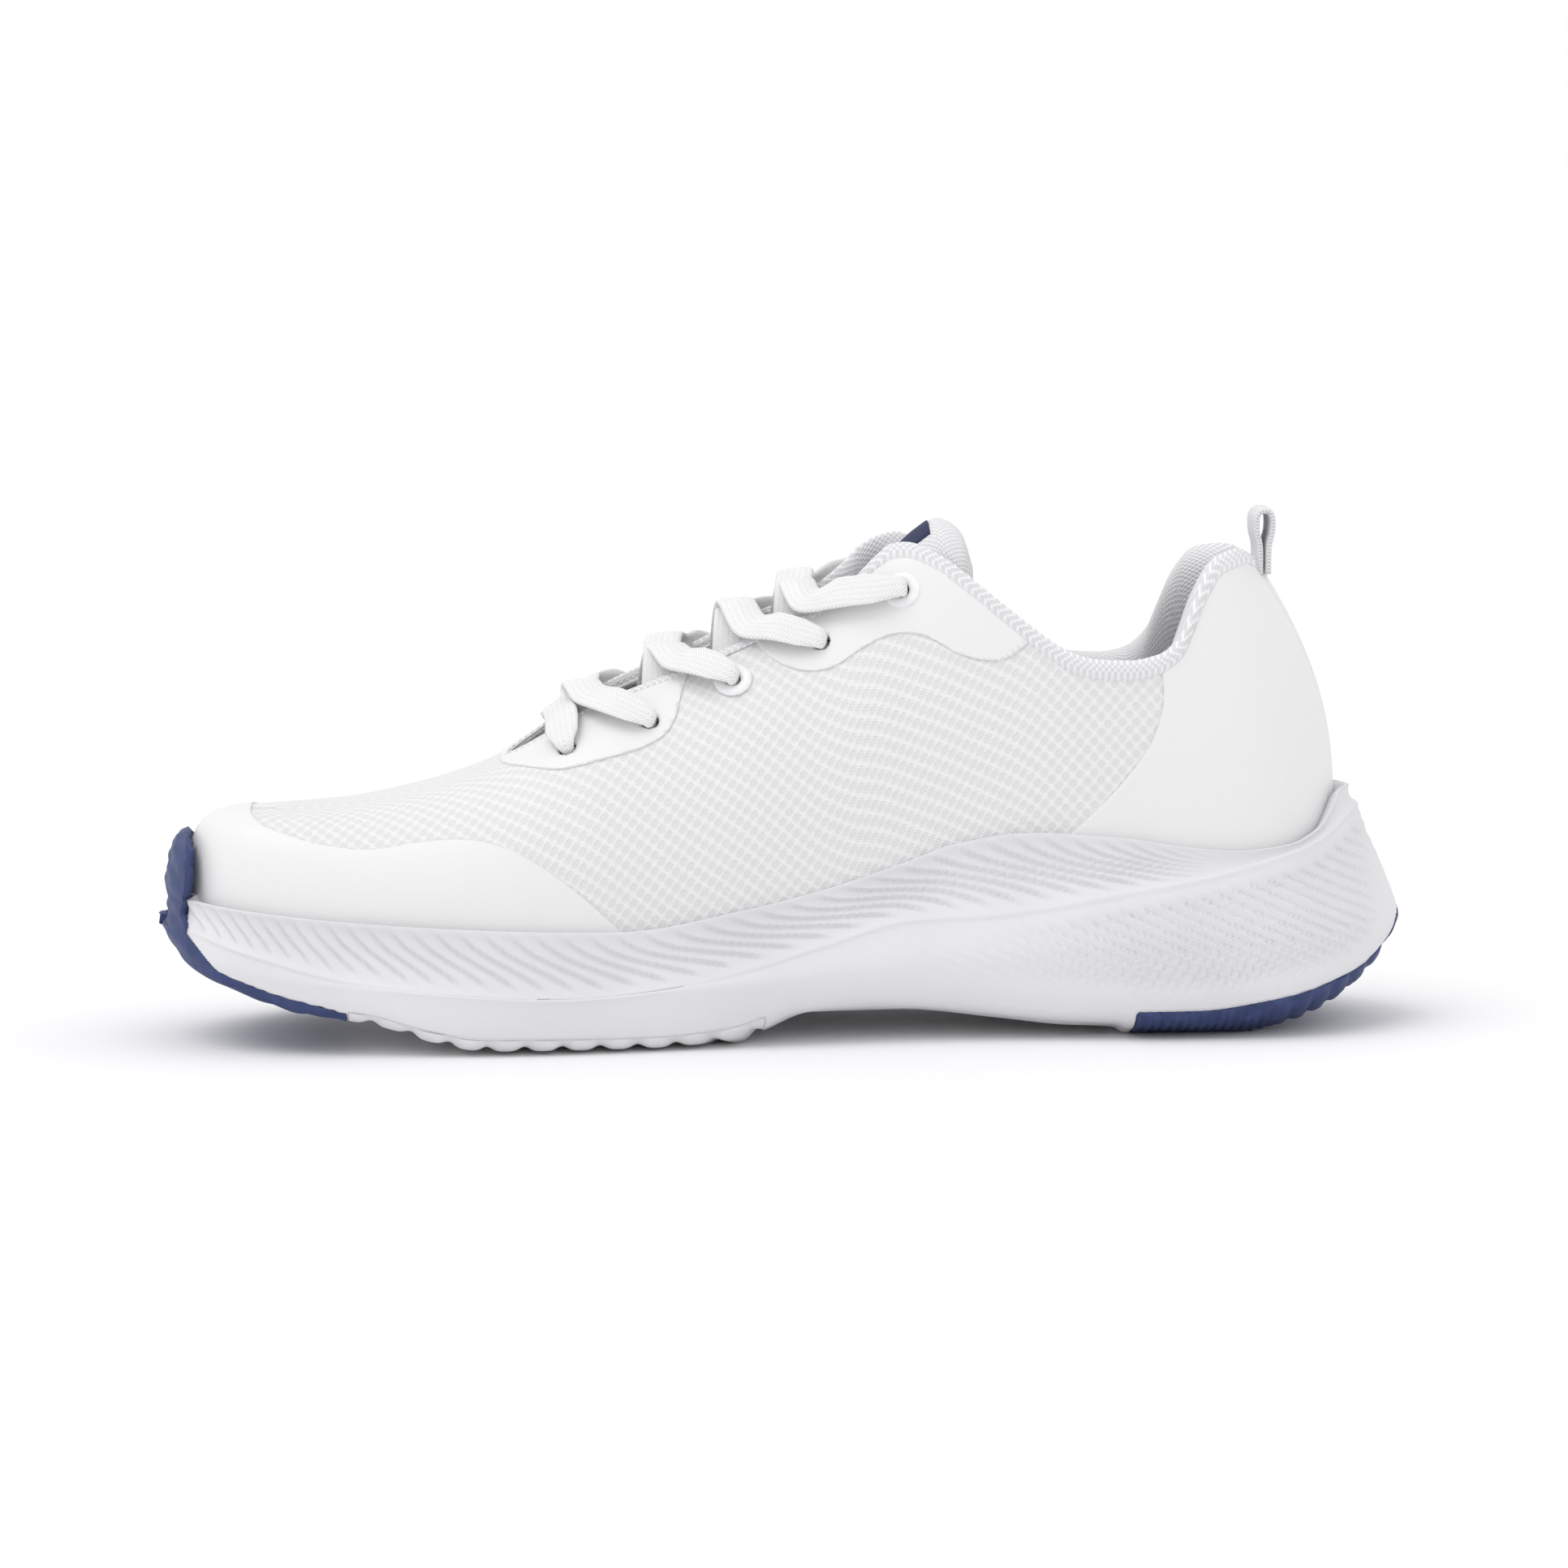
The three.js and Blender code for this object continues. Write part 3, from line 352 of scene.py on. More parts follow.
SOLE_PLAN = [
    [-150, -13], [-140, -36], [-115, -46.5], [-70, -51.5], [-22, -45.5], [28, -38], [78, -39.5], [126, -34.5],
    [150, 0], [126, 35.5], [80, 42], [32, 44.5], [-18, 51.5], [-66, 49], [-110, 34], [-140, 11],
]
UPPER_PLAN = [
    [-145.5, -13], [-136.5, -32.5], [-113, -42.8], [-70, -48], [-22, -42.5], [28, -34.5], [78, -34],
    [117, -28.5], [134.5, 0], [117, 29.5], [80, 36.5], [32, 41], [-18, 48], [-66, 45.5], [-108, 31.5],
    [-136.5, 7.5],
]


PLAN_STEPS = 200  # points to each span of a plan outline


class Plan:
    """A closed plan outline that is looked up by side and x."""

    def __init__(self, outline):
        ring = np.array(outline, float)
        n = len(ring)
        closed = np.vstack([ring[-1:], ring, ring[:2]])
        t = np.linspace(0, 1, PLAN_STEPS, endpoint=False)[:, None]
        spans = [catmull_rom(*closed[i : i + 4], t) for i in range(n)]
        fine = np.vstack([*spans, ring[:1]])
        half = n // 2 * PLAN_STEPS
        self.runs = {-1: fine[: half + 1], 1: fine[half:][::-1]}
        self.toe, self.heel = fine[0], fine[half]

    def y(self, side, x):
        run = self.runs[side]
        order = np.maximum.accumulate(run[:, 0])
        return np.interp(x, order, run[:, 1])

    def evenly(self, side, count):
        """Points an equal way apart along one side, from toe tip to heel tip."""
        run = self.runs[side]
        length = np.concatenate([[0], np.cumsum(np.hypot(*np.diff(run, axis=0).T))])
        share = np.linspace(0, length[-1], count + 1)
        return np.column_stack([np.interp(share, length, run[:, 0]), np.interp(share, length, run[:, 1])])

    def stations(self, count):
        """x of stations that crowd towards both tips."""
        share = (1 - np.cos(np.pi * np.arange(count + 1) / count)) / 2
        return self.toe[0] + (self.heel[0] - self.toe[0]) * share


UPPER, SOLE = Plan(UPPER_PLAN), Plan(SOLE_PLAN)


def ring_of(plan, count):
    """Base points round a plan: toe tip, medial side, heel tip, lateral side."""
    x = plan.stations(count)
    medial = np.stack([x, plan.y(-1, x)], axis=1)
    lateral = np.stack([x, plan.y(1, x)], axis=1)[1:-1][::-1]
    medial[0], medial[-1] = plan.toe, plan.heel
    return np.vstack([medial, lateral])


# ---------------------------------------------------------------- the foot form
def form(base, turn, depth):
    """Points of the foot form over base points, at a turn from the bite line to the ridge."""
    x, y = base[..., 0], base[..., 1]
    pole_x = np.clip(x, TOE_POLE, HEEL_POLE)
    pole_y = ridge_side(pole_x)
    dx, dy = x - pole_x, y - pole_y
    reach = np.maximum(np.hypot(dx, dy), 1e-6)
    low, high = bite_line(x), crown(pole_x)
    rise, cosine = np.sin(turn), np.maximum(np.cos(turn), 0)
    swell = 1 + 4 * bulge(x) * rise * (1 - rise)
    run = np.maximum(reach - depth, 0.5) * cosine ** roundness(x) * swell
    z = low + (high - depth - low) * rise
    return np.stack([pole_x + dx / reach * run, pole_y + dy / reach * run, z], axis=-1)


def over_throat(p):
    """Positive inside the throat slot."""
    inside = throat_half_width(p[..., 0]) - np.abs(p[..., 1] - ridge_side(p[..., 0]))
    return np.where((p[..., 0] > -68) & (p[..., 0] < 45), inside, -1.0)


def over_collar(p):
    """Positive above the collar's top edge."""
    line = collar_line(p[..., 0]) - np.where(p[..., 1] > 0, lateral_drop(p[..., 0]), 0)
    return np.where(p[..., 0] > 15, p[..., 2] - line, -1.0)


def over_opening(p):
    """Positive inside the throat slot or above the collar."""
    return np.maximum(over_throat(p), over_collar(p))


COLUMNS = 300  # of the upper's grid, from the toe tip to the heel tip on each side
SAMPLES = 361  # points up each column, along which its girth is measured
BASE = ring_of(UPPER, COLUMNS)
FINE_TURNS = np.linspace(0, np.pi / 2, SAMPLES)
FINE_FORM = form(BASE[:, None, :], FINE_TURNS[None, :], 1.0)
FINE_STEPS = np.linalg.norm(np.diff(FINE_FORM, axis=1), axis=2)
FINE_LENGTH = np.concatenate([np.zeros((len(BASE), 1)), np.cumsum(FINE_STEPS, axis=1)], axis=1)


def edge_length(cut):
    """Girth from the bite line to where cut first turns positive, for each column."""
    value = cut(FINE_FORM)
    value[:, 0] = -1
    hit = value > 0
    first = np.where(hit.any(axis=1), hit.argmax(axis=1), SAMPLES - 1)
    rows = np.arange(len(BASE))
    a, b = value[rows, first - 1], value[rows, first]
    share = np.where(hit.any(axis=1), a / np.where(a - b == 0, 1, a - b), 1)
    return FINE_LENGTH[rows, first - 1] + share * (FINE_LENGTH[rows, first] - FINE_LENGTH[rows, first - 1])


TOP_LENGTH = edge_length(over_opening)
FULL_LENGTH = FINE_LENGTH[:, -1]
OPEN = TOP_LENGTH < FULL_LENGTH - 0.01  # columns that end at the throat or the collar
SIDE_OF_COLUMN = np.where(np.arange(len(BASE)) <= COLUMNS, -1, 1)


def turn_at(length):
    """Turn at which each column has the given girth above the bite line."""
    return np.stack([
        np.interp(np.atleast_1d(length[i]), FINE_LENGTH[i], FINE_TURNS) for i in range(len(BASE))
    ])


# ---------------------------------------------------------------- meshes
class Sheet:
    """Points, four-sided faces and a fabric pattern, all in millimetres."""

    def __init__(self, points, faces, pattern):
        self.points, self.faces, self.pattern = points, faces, pattern

    def clipped(self, value):
        """The part where each point's value is positive, with its edge cut through the faces."""
        points, pattern, faces, cuts = list(self.points), list(self.pattern), [], {}

        def cut(i, j):
            key = (min(i, j), max(i, j))
            if key not in cuts:
                a, b = key
                t = value[a] / (value[a] - value[b])
                cuts[key] = len(points)
                points.append(self.points[a] + (self.points[b] - self.points[a]) * t)
                pattern.append(self.pattern[a] + (self.pattern[b] - self.pattern[a]) * t)
            return cuts[key]

        for face in self.faces:
            inside = [value[i] > 0 for i in face]
            if all(inside):
                faces.append(tuple(face))
            elif any(inside):
                ring = []
                for k, i in enumerate(face):
                    j = face[(k + 1) % len(face)]
                    if inside[k]:
                        ring.append(i)
                    if inside[k] != inside[(k + 1) % len(face)]:
                        ring.append(cut(i, j))
                if len(set(ring)) > 2:
                    faces.append(tuple(ring))
        used = sorted({i for face in faces for i in face})
        order = {i: k for k, i in enumerate(used)}
        return Sheet(
            np.array([points[i] for i in used]),
            [tuple(order[i] for i in face) for face in faces],
            np.array([pattern[i] for i in used]),
        )


def grid_faces(columns, rows, closed):
    """Faces of a grid stored column by column."""
    faces = []
    for c in range(columns if closed else columns - 1):
        a, b = c * rows, (c + 1) % columns * rows
        faces.extend((a + r, b + r, b + r + 1, a + r + 1) for r in range(rows - 1))
    return faces


def tube_faces(rings, count, closed=False, capped=False):
    """Faces of a tube stored ring by ring. closed joins its ends to each other, and capped fills them."""
    faces = []
    for ring in range(rings if closed else rings - 1):
        a, b = ring * count, (ring + 1) % rings * count
        faces.extend((a + r, b + r, b + (r + 1) % count, a + (r + 1) % count) for r in range(count))
    if capped:
        faces.append(tuple(range(count)))
        faces.append(tuple(range(rings * count - 1, (rings - 1) * count - 1, -1)))
    return faces


def grid_sheet(points, pattern, closed=False):
    columns, rows = points.shape[:2]
    return Sheet(points.reshape(-1, 3), grid_faces(columns, rows, closed), pattern.reshape(-1, 2))


def make_object(name, sheet, material, weld=0.0, thickness=0.0, flip=False):
    """A smooth mesh object. thickness is added behind the face."""
    mesh = bpy.data.meshes.new(name)
    faces = [face[::-1] for face in sheet.faces] if flip else sheet.faces
    mesh.from_pydata((sheet.points * MM).tolist(), [], [tuple(map(int, face)) for face in faces])
    layer = mesh.uv_layers.new(name="fabric")
    corners = np.array([loop.vertex_index for loop in mesh.loops])
    layer.data.foreach_set("uv", sheet.pattern[corners].astype(np.float32).ravel())
    mesh.materials.append(material)
    mesh.polygons.foreach_set("use_smooth", [True] * len(mesh.polygons))
    piece = bpy.data.objects.new(name, mesh)
    bpy.context.collection.objects.link(piece)
    if weld:
        piece.modifiers.new("weld", "WELD").merge_threshold = weld * MM
    if thickness:
        solid = piece.modifiers.new("thickness", "SOLIDIFY")
        solid.thickness = thickness * MM
        solid.offset = -1
    apply_modifiers(piece)
    return piece


def apply_modifiers(piece):
    if not piece.modifiers:
        return
    evaluated = piece.evaluated_get(bpy.context.evaluated_depsgraph_get())
    mesh = bpy.data.meshes.new_from_object(evaluated)
    piece.modifiers.clear()
    piece.data = mesh


def finish_piece(piece, body, nodes):
    """Ride a piece on its body and hide the nodes that it stands for."""
    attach(piece, body)
    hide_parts(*nodes)


# ---------------------------------------------------------------- the upper
ROWS = 84  # of the upper's grid, from the bite line to the top edge
HEM = 5.0  # how far the upper runs on down behind the midsole's rim
KNIT_DEPTH, FILM_DEPTH, STIFFENER_DEPTH = 1.0, 0.55, 2.7  # depths of the layers' faces under the skin


def upper_sheet(depth):
    """The upper from under the midsole's rim to its top edge, at a depth under the skin."""
    length = TOP_LENGTH[:, None] * np.linspace(0, 1, ROWS)[None, :]
    turns = turn_at(length)
    points = form(BASE[:, None, :], turns, depth)
    hem = points[:, :1].copy()
    hem[..., 2] -= HEM
    girth = FULL_LENGTH[:, None] - length
    points = np.concatenate([hem, points], axis=1)
    girth = np.concatenate([girth[:, :1] + HEM, girth], axis=1) * SIDE_OF_COLUMN[:, None]
    pattern = np.stack([points[..., 0], girth], axis=-1)
    return grid_sheet(points, pattern, closed=True)


# Each column's end, and how much of the collar's roll it carries: none round the throat, all round the ankle.
END_X = form(BASE, turn_at(TOP_LENGTH)[:, 0], 0.0)[:, 0]
ROLL_SHARE = np.where(OPEN, smooth(6, 24, END_X), 0)


def below_seam(cover):
    """Girth from each point of an upper sheet up to the seam of a roll that covers some of it."""
    drop = TOP_LENGTH[:, None] * np.linspace(1, 0, ROWS)[None, :]
    drop = np.concatenate([drop[:, :1] + HEM, drop], axis=1)
    return (drop - cover * ROLL_SHARE[:, None] + 0.01).ravel()


def skin_point(side, x, z):
    """Point on the skin of one side at x and z."""
    base = np.array([x, UPPER.y(side, x)])
    low, high = bite_line(x), crown(np.clip(x, TOE_POLE, HEEL_POLE))
    return form(base, np.arcsin(np.clip((z - low) / (high - low), 0, 1)), 0.0)


def skin_frame(side, x, z):
    """Point on the skin and the outward direction there."""
    along = skin_point(side, x + 1, z) - skin_point(side, x - 1, z)
    upwards = skin_point(side, x, z + 1) - skin_point(side, x, z - 1)
    normal = np.cross(along, upwards) * -side
    return skin_point(side, x, z), normal / np.linalg.norm(normal)


def under_skin(side, x, z, depth):
    point, normal = skin_frame(side, x, z)
    return point - normal * depth


EYELETS = [  # x, z, and whether the hole has a ring
    (-54.4, 71.2, False), (-34.6, 77.4, False), (-14.6, 86.8, True), (6.7, 95.3, False), (26, 107.5, True),
]
HOLE = {False: 2.3, True: 2.6}  # radius of a plain hole and of a ringed one
HOLE_REACH = 8  # how far a hole is cut along its axis, so that it misses the far flap
FAR = 50.0  # stands for far from any edge


def outside_holes(p):
    """Distance from the nearest eyelet hole's wall, positive in the cloth."""
    least = np.full(len(p), FAR)
    for side in SIDES.values():
        for x, z, ringed in EYELETS:
            centre, axis = skin_frame(side, x, z)
            offset = p - centre
            along = offset @ axis
            away = np.linalg.norm(offset - along[:, None] * axis, axis=1)
            least = np.minimum(least, np.where(np.abs(along) < HOLE_REACH, away - HOLE[ringed], FAR))
    return least


def inside_outline(outline):
    """Signed distance in side view to a closed [x, z] outline, positive inside."""
    ring = np.array(outline, float)
    a, b = ring, np.roll(ring, -1, axis=0)

    def value(p):
        q = p[:, [0, 2]]
        least = np.full(len(q), 1e9)
        odd = np.zeros(len(q), bool)
        for (ax, az), (bx, bz) in zip(a, b):
            ex, ez = bx - ax, bz - az
            wx, wz = q[:, 0] - ax, q[:, 1] - az
            t = np.clip((wx * ex + wz * ez) / max(ex * ex + ez * ez, 1e-9), 0, 1)
            least = np.minimum(least, np.hypot(wx - ex * t, wz - ez * t))
            if az != bz:
                crosses = (az > q[:, 1]) != (bz > q[:, 1])
                odd ^= crosses & (q[:, 0] < (bx - ax) * (q[:, 1] - az) / (bz - az) + ax)
        return np.where(odd, least, -least)

    return value


# Edges of the welded films in side view, as [x, z].
TOE_OVERLAY_EDGE = [
    [-131, 57], [-126.5, 53.2], [-118, 50.6], [-112, 49.2], [-101, 48.3], [-89, 50.2], [-80.5, 50.8],
    [-73, 50], [-66, 47.5], [-58, 42.6], [-50, 36.2], [-41.5, 28], [-38, 24],
]
FRONT_EYESTAY_EDGE = [
    [-70.5, 66.2], [-64.7, 66.6], [-55.8, 66.5], [-45.1, 69], [-36.4, 71.4], [-31, 74.4], [-28.4, 78.2],
    [-26.7, 83.6], [-24.7, 88.4],
]
UPPER_EYESTAY_EDGE = [
    [-9.6, 96.3], [-7.2, 93], [-2.7, 90], [2.7, 88.6], [8.8, 89.2], [16, 93.6], [21, 96.3], [26.5, 97.4],
    [32.6, 96.2], [39, 92.6], [45.1, 91], [50.5, 91.4], [54.8, 94.2], [57.4, 95.9], [60, 97],
]
HEEL_PANEL_EDGE = [
    [86.4, 90.6], [87.8, 87.7], [88.2, 81.4], [87, 75.9], [84.2, 69.5], [77.8, 61.3], [70.7, 54.1],
    [63, 47], [55, 38],
]
COLLAR_SEAM = 5.0  # girth of the rolled collar above its stitched seam


def overlay_outlines():
    """The films' outlines. Beyond their drawn edges they run out past the shoe."""
    toe = [[-170, 90], [-131, 90], *spline(TOE_OVERLAY_EDGE, 6).tolist(), [-38, 0], [-170, 0]]
    front = [*spline(FRONT_EYESTAY_EDGE, 6).tolist(), [-24.7, 130], [-70.5, 130]]
    upper = [*spline(UPPER_EYESTAY_EDGE, 6).tolist(), [60, 150], [-9.6, 150]]
    heel = [[86.4, 140], *spline(HEEL_PANEL_EDGE, 6).tolist(), [55, 0], [180, 0], [180, 140]]
    return {"toe": toe, "front": front, "upper": upper, "heel": heel}


def tape_half_width(p):
    """Half the heel tape's width, which grows towards the top."""
    return np.interp(p[:, 2], [50, 112], [3.2, 6.2])


def build_overlays(film):
    """The welded films: toe, both eyestays, heel panels and the tape over the back seam."""
    sheet = upper_sheet(FILM_DEPTH)
    outlines = {name: inside_outline(ring) for name, ring in overlay_outlines().items()}
    points, seam = sheet.points, below_seam(COLLAR_SEAM)
    at_heel = points[:, 0] > 100
    tape = np.where(at_heel, tape_half_width(points) - np.abs(points[:, 1]), -FAR)
    beside_tape = np.where(at_heel, -tape - 0.15, FAR)
    holes = outside_holes(points)

    def film_piece(name, node, *keeps):
        sheet_part = sheet.clipped(np.minimum.reduce(keeps))
        piece = make_object(name, sheet_part, film, weld=0.02, thickness=0.5)
        finish_piece(piece, "shoe", [node])

    film_piece("toe_overlay_film", "toe_overlay", outlines["toe"](points))
    film_piece("front_eyestay_film", "front_eyestay", outlines["front"](points), holes)
    film_piece("heel_tape_film", "heel_tape", tape, seam)
    for name, side in SIDES.items():
        half = side * points[:, 1] - 0.05
        eyestay, heel = outlines["upper"](points), outlines["heel"](points)
        film_piece(f"eyestay_film_{name}", f"eyestay_{name}", eyestay, seam, half, holes)
        film_piece(f"heel_film_{name}", f"heel_panel_{name}", heel, seam, half, beside_tape)


def build_knit(knit):
    """The knitted upper in one piece, open at the throat and the collar."""
    sheet = upper_sheet(KNIT_DEPTH)
    keep = np.minimum(outside_holes(sheet.points), below_seam(COLLAR_SEAM - 1))
    piece = make_object("knit_upper", sheet.clipped(keep), knit, weld=0.02, thickness=0.9)
    finish_piece(piece, "shoe", ["upper_mesh"])


# Sections of the edge roll: [girth below the top edge, depth under the skin], from the outside to the inside.
COLLAR_ROLL = [
    [5.3, 1.5], [5.1, 0.75], [4.3, 0.05], [2.9, -0.3], [1.4, -0.05], [0.35, 1.0], [0, 2.7], [0.1, 4.6],
    [0.8, 6.6], [2.6, 8.4], [6, 9.6], [11, 10], [17, 9.4], [23, 7.6], [29, 5.4], [36, 4.2], [44, 4.0],
]
THROAT_ROLL = [
    [2.6, 0.8], [2.4, 0.42], [1.9, 0.2], [1.2, 0.1], [0.5, 0.25], [0.1, 0.8], [0, 1.6], [0.1, 2.4],
    [0.5, 3.2], [1.2, 3.7], [3, 3.9], [6, 4.0], [10, 4.0], [15, 4.0], [21, 4.0], [28, 4.0], [36, 4.0],
]


ROLL_STEPS = 3  # rows to each span of a roll's section
LINING_DEPTH, LINING_ROWS = 4.0, 12  # its depth under the skin, and its rows below a roll's section


def roll_sheet():
    """The collar's padded roll, the throat's bound edge and the lining behind them, in one sheet."""
    weight = ROLL_SHARE[:, None]
    collar, throat = spline(COLLAR_ROLL, ROLL_STEPS), spline(THROAT_ROLL, ROLL_STEPS)
    drop = weight * collar[:, 0] + (1 - weight) * throat[:, 0]
    depth = weight * collar[:, 1] + (1 - weight) * throat[:, 1]
    shut = ~OPEN[:, None]
    drop = np.where(shut, np.maximum(collar[:, 0] - 2, 0), drop)
    depth = np.where(shut, LINING_DEPTH, depth)
    top = TOP_LENGTH[:, None]
    rest = np.linspace(0.15, 1, LINING_ROWS)[None, :]
    last = drop[:, -1:]
    drop = np.concatenate([drop, last + (top - last) * rest], axis=1)
    depth = np.concatenate([depth, np.full((len(BASE), LINING_ROWS), LINING_DEPTH)], axis=1)
    length = np.clip(top - drop, 0, None)
    points = form(BASE[:, None, :], turn_at(length), depth)
    floor = points[:, -1:].copy()
    floor[..., 2] = foot_bed(floor[..., 0]) + 3
    points = np.concatenate([points, floor], axis=1)
    girth = np.concatenate([drop, drop[:, -1:] + 15], axis=1)
    pattern = np.stack([points[..., 0], girth + depth_run(depth)], axis=-1)
    return grid_sheet(points, pattern, closed=True)


def depth_run(depth):
    """Length that the fabric gains where it turns inwards, with one more row for the floor edge."""
    run = np.cumsum(np.abs(np.diff(depth, axis=1)), axis=1)
    return np.concatenate([np.zeros((len(depth), 1)), run, run[:, -1:]], axis=1)


def build_roll(lining):
    sheet = roll_sheet()
    sheet = sheet.clipped(outside_holes(sheet.points) + 0.4)
    piece = make_object("collar_roll_and_lining", sheet, lining, weld=0.02)
    finish_piece(piece, "shoe", ["collar_lining", "collar_foam", "vamp_lining"])


# ---------------------------------------------------------------- the sole
SECTIONS = 520  # steps from one section of the sole to the next, between the toe tip and the heel tip
UPPER_ROWS = 24  # rows from the rim to the parting ridge
LOWER_ROWS = (28, 16, 9)  # rows from there to the belly, to the edge and to the tread
BOTTOM_ROWS = 26  # rows across the tread
WALL, TREAD = -1.0, -2.0  # band numbers of the rows below the parting ridge, and under the sole
LUG_PITCH = 9.0  # length of one forefoot lug
RECESS = 2.4  # how far the foam lies back under the rubber


def inward_of(ring):
    """Unit directions into a closed ring of plan points."""
    ahead = np.roll(ring, -1, axis=0) - np.roll(ring, 1, axis=0)
    ahead /= np.linalg.norm(ahead, axis=1)[:, None]
    return np.stack([-ahead[:, 1], ahead[:, 0]], axis=1)


def through(keys, counts):
    """Smooth rows through stacked key points, with counts rows to each span."""
    padded = [2 * keys[0] - keys[1], *keys, 2 * keys[-1] - keys[-2]]
    rows = []
    for i, count in enumerate(counts):
        rows.extend(catmull_rom(*padded[i : i + 4], t) for t in np.arange(count) / count)
    return [*rows, keys[-1]]


def sole_wall(run, inward):
    """Rows of one side of the sole from rim to tread, with each row's share of the upper band."""
    def level(inset, height):
        place = run + inward * inset(run[:, 0])[:, None]
        return np.column_stack([place, height(place[:, 0])])

    rim, parting = level(rim_inset, bite_line), level(parting_inset, parting_z)
    belly, edge = level(np.zeros_like, belly_z), level(edge_inset, edge_z)
    tread = level(tread_inset, bottom_z)
    upper = []
    for t in np.arange(UPPER_ROWS) / UPPER_ROWS:
        row = rim + (parting - rim) * t
        row[:, :2] += inward * 0.9 * math.sin(math.pi * t)
        upper.append(row)
    lower = through([parting, belly, edge, tread], LOWER_ROWS)
    band = np.concatenate([1 - np.arange(UPPER_ROWS) / UPPER_ROWS, np.full(len(lower), WALL)])
    return np.stack([*upper, *lower], axis=1), band


def sole_outside():
    """Grid over the sole from the medial rim, under the tread, to the lateral rim."""
    medial, lateral = SOLE.evenly(-1, SECTIONS), SOLE.evenly(1, SECTIONS)
    ring = np.vstack([medial, lateral[1:-1][::-1]])
    inward = inward_of(ring)
    towards = np.vstack([inward[SECTIONS:], inward[:1]])[::-1]
    walls = [sole_wall(medial, inward[: SECTIONS + 1]), sole_wall(lateral, towards)]
    left, right = walls[0][0], walls[1][0]
    share = np.arange(1, BOTTOM_ROWS)[None, :, None] / BOTTOM_ROWS
    bottom = left[:, -1:] + (right[:, -1:] - left[:, -1:]) * share
    points = np.concatenate([left, bottom, right[:, ::-1]], axis=1)
    band = np.concatenate([walls[0][1], np.full(BOTTOM_ROWS - 1, TREAD), walls[1][1][::-1]])
    return points, np.broadcast_to(band, points.shape[:2]), inward, towards


def grid_normals(points):
    across = np.gradient(points, axis=0)
    down = np.gradient(points, axis=1)
    normal = unit(np.cross(down, across))
    for tip in (0, -1):  # both sides meet at a tip, so they share a direction there
        normal[tip] = unit(normal[tip] + normal[tip][::-1])
    return normal


def valley(phase, width):
    """1 in the bottom of a groove at each whole phase, 0 between."""
    away = np.abs(phase - np.round(phase))
    return np.exp(-((away / width) ** 2))


def blade(phase):
    """Overlapping blades: each sinks slowly from 0 and rises sharply at the next."""
    part = phase - np.floor(phase)
    return part * smooth(1.0, 0.8, part)


# The blades above the parting ridge: how far apart they are along x, and how far each runs back as it falls.
blade_pitch = curve([[-150, 3.2], [-120, 4], [-90, 5.4], [-60, 6.2], [-20, 6.8], [100, 6.8]])
blade_lean = curve([[-150, 4], [-120, 8], [-90, 16], [-50, 24], [-10, 31], [40, 38], [100, 42]])
BLADE_X = np.linspace(-260, 180, 2200)  # it starts far ahead of the toe, because the blades lean back
BLADE_COUNT = np.concatenate([[0], np.cumsum(np.diff(BLADE_X) / blade_pitch(BLADE_X[1:]))])


def upper_blades(x, share):
    """Depth of the S-shaped blades at x and a share of the band's height."""
    fall = 1 - share
    lean = blade_lean(x) * (fall - 0.07 * np.sin(2 * np.pi * fall))
    phase = np.interp(x - lean, BLADE_X, BLADE_COUNT)
    fade = smooth(0.03, 0.25, share) * smooth(1.0, 0.82, share) * smooth(-147, -141, x) * smooth(106, 76, x)
    return fade * blade(phase)


def heel_blades(x, z):
    """Depth of the slanting blades below the parting ridge towards the heel."""
    phase = -(x + z / math.tan(math.radians(24))) / 6.4
    low, high = edge_z(x) + 4, parting_z(x) - 2
    fade = smooth(0, 6, z - low) * smooth(0, 4, high - z)
    return fade * smooth(20, 90, x) * smooth(147, 138, x) * blade(phase)


toe_band = curve([[-150, 9], [-142.7, 6], [-136.5, 2.6], [-117, 2.2], [-107, 1.1]])  # height above the edge


def toe_cover(p):
    x, z = p[..., 0], p[..., 2]
    under_foot = np.minimum(-106.8 - x, edge_z(x) + toe_band(x) - z)
    return np.maximum(under_foot, -144.6 - x)


def forefoot_cover(p):
    x = p[..., 0]
    return np.minimum.reduce([x + 106.2, -8 - x, edge_z(x) + 1.6 - p[..., 2]])


def heel_cover(p):
    x = p[..., 0]
    return np.minimum(x - 81.6, edge_z(x) + 1.4 - p[..., 2])


def build_midsole(foam):
    points, band, inward, towards = sole_outside()
    normal = grid_normals(points)
    x, z = points[..., 0], points[..., 2]
    relief = np.where(band >= 0, -1.15 * upper_blades(x, band), 0)
    relief -= np.where(band == WALL, 1.4 * heel_blades(x, z), 0)
    above = z - parting_z(x)
    relief += np.where(band != TREAD, 0.35 * np.exp(-((above / 0.6) ** 2)), 0) * smooth(-146, -136, x)
    cover = np.maximum.reduce([toe_cover(points), forefoot_cover(points), heel_cover(points)])
    relief -= RECESS * smooth(-0.1, 0.5, cover)
    moved = points + normal * relief[..., None]
    whole = np.concatenate([moved, close_section(moved, inward, towards)], axis=1)
    rows = whole.shape[1]
    faces = []
    for c in range(SECTIONS):
        a, b = c * rows, (c + 1) * rows
        faces.extend((a + r, a + (r + 1) % rows, b + (r + 1) % rows, b + r) for r in range(rows))
    sheet = Sheet(whole.reshape(-1, 3), faces, whole.reshape(-1, 3)[:, [0, 2]])
    piece = make_object("midsole_foam_body", sheet, foam, weld=0.01, flip=True)
    finish_piece(piece, "shoe", ["midsole"])


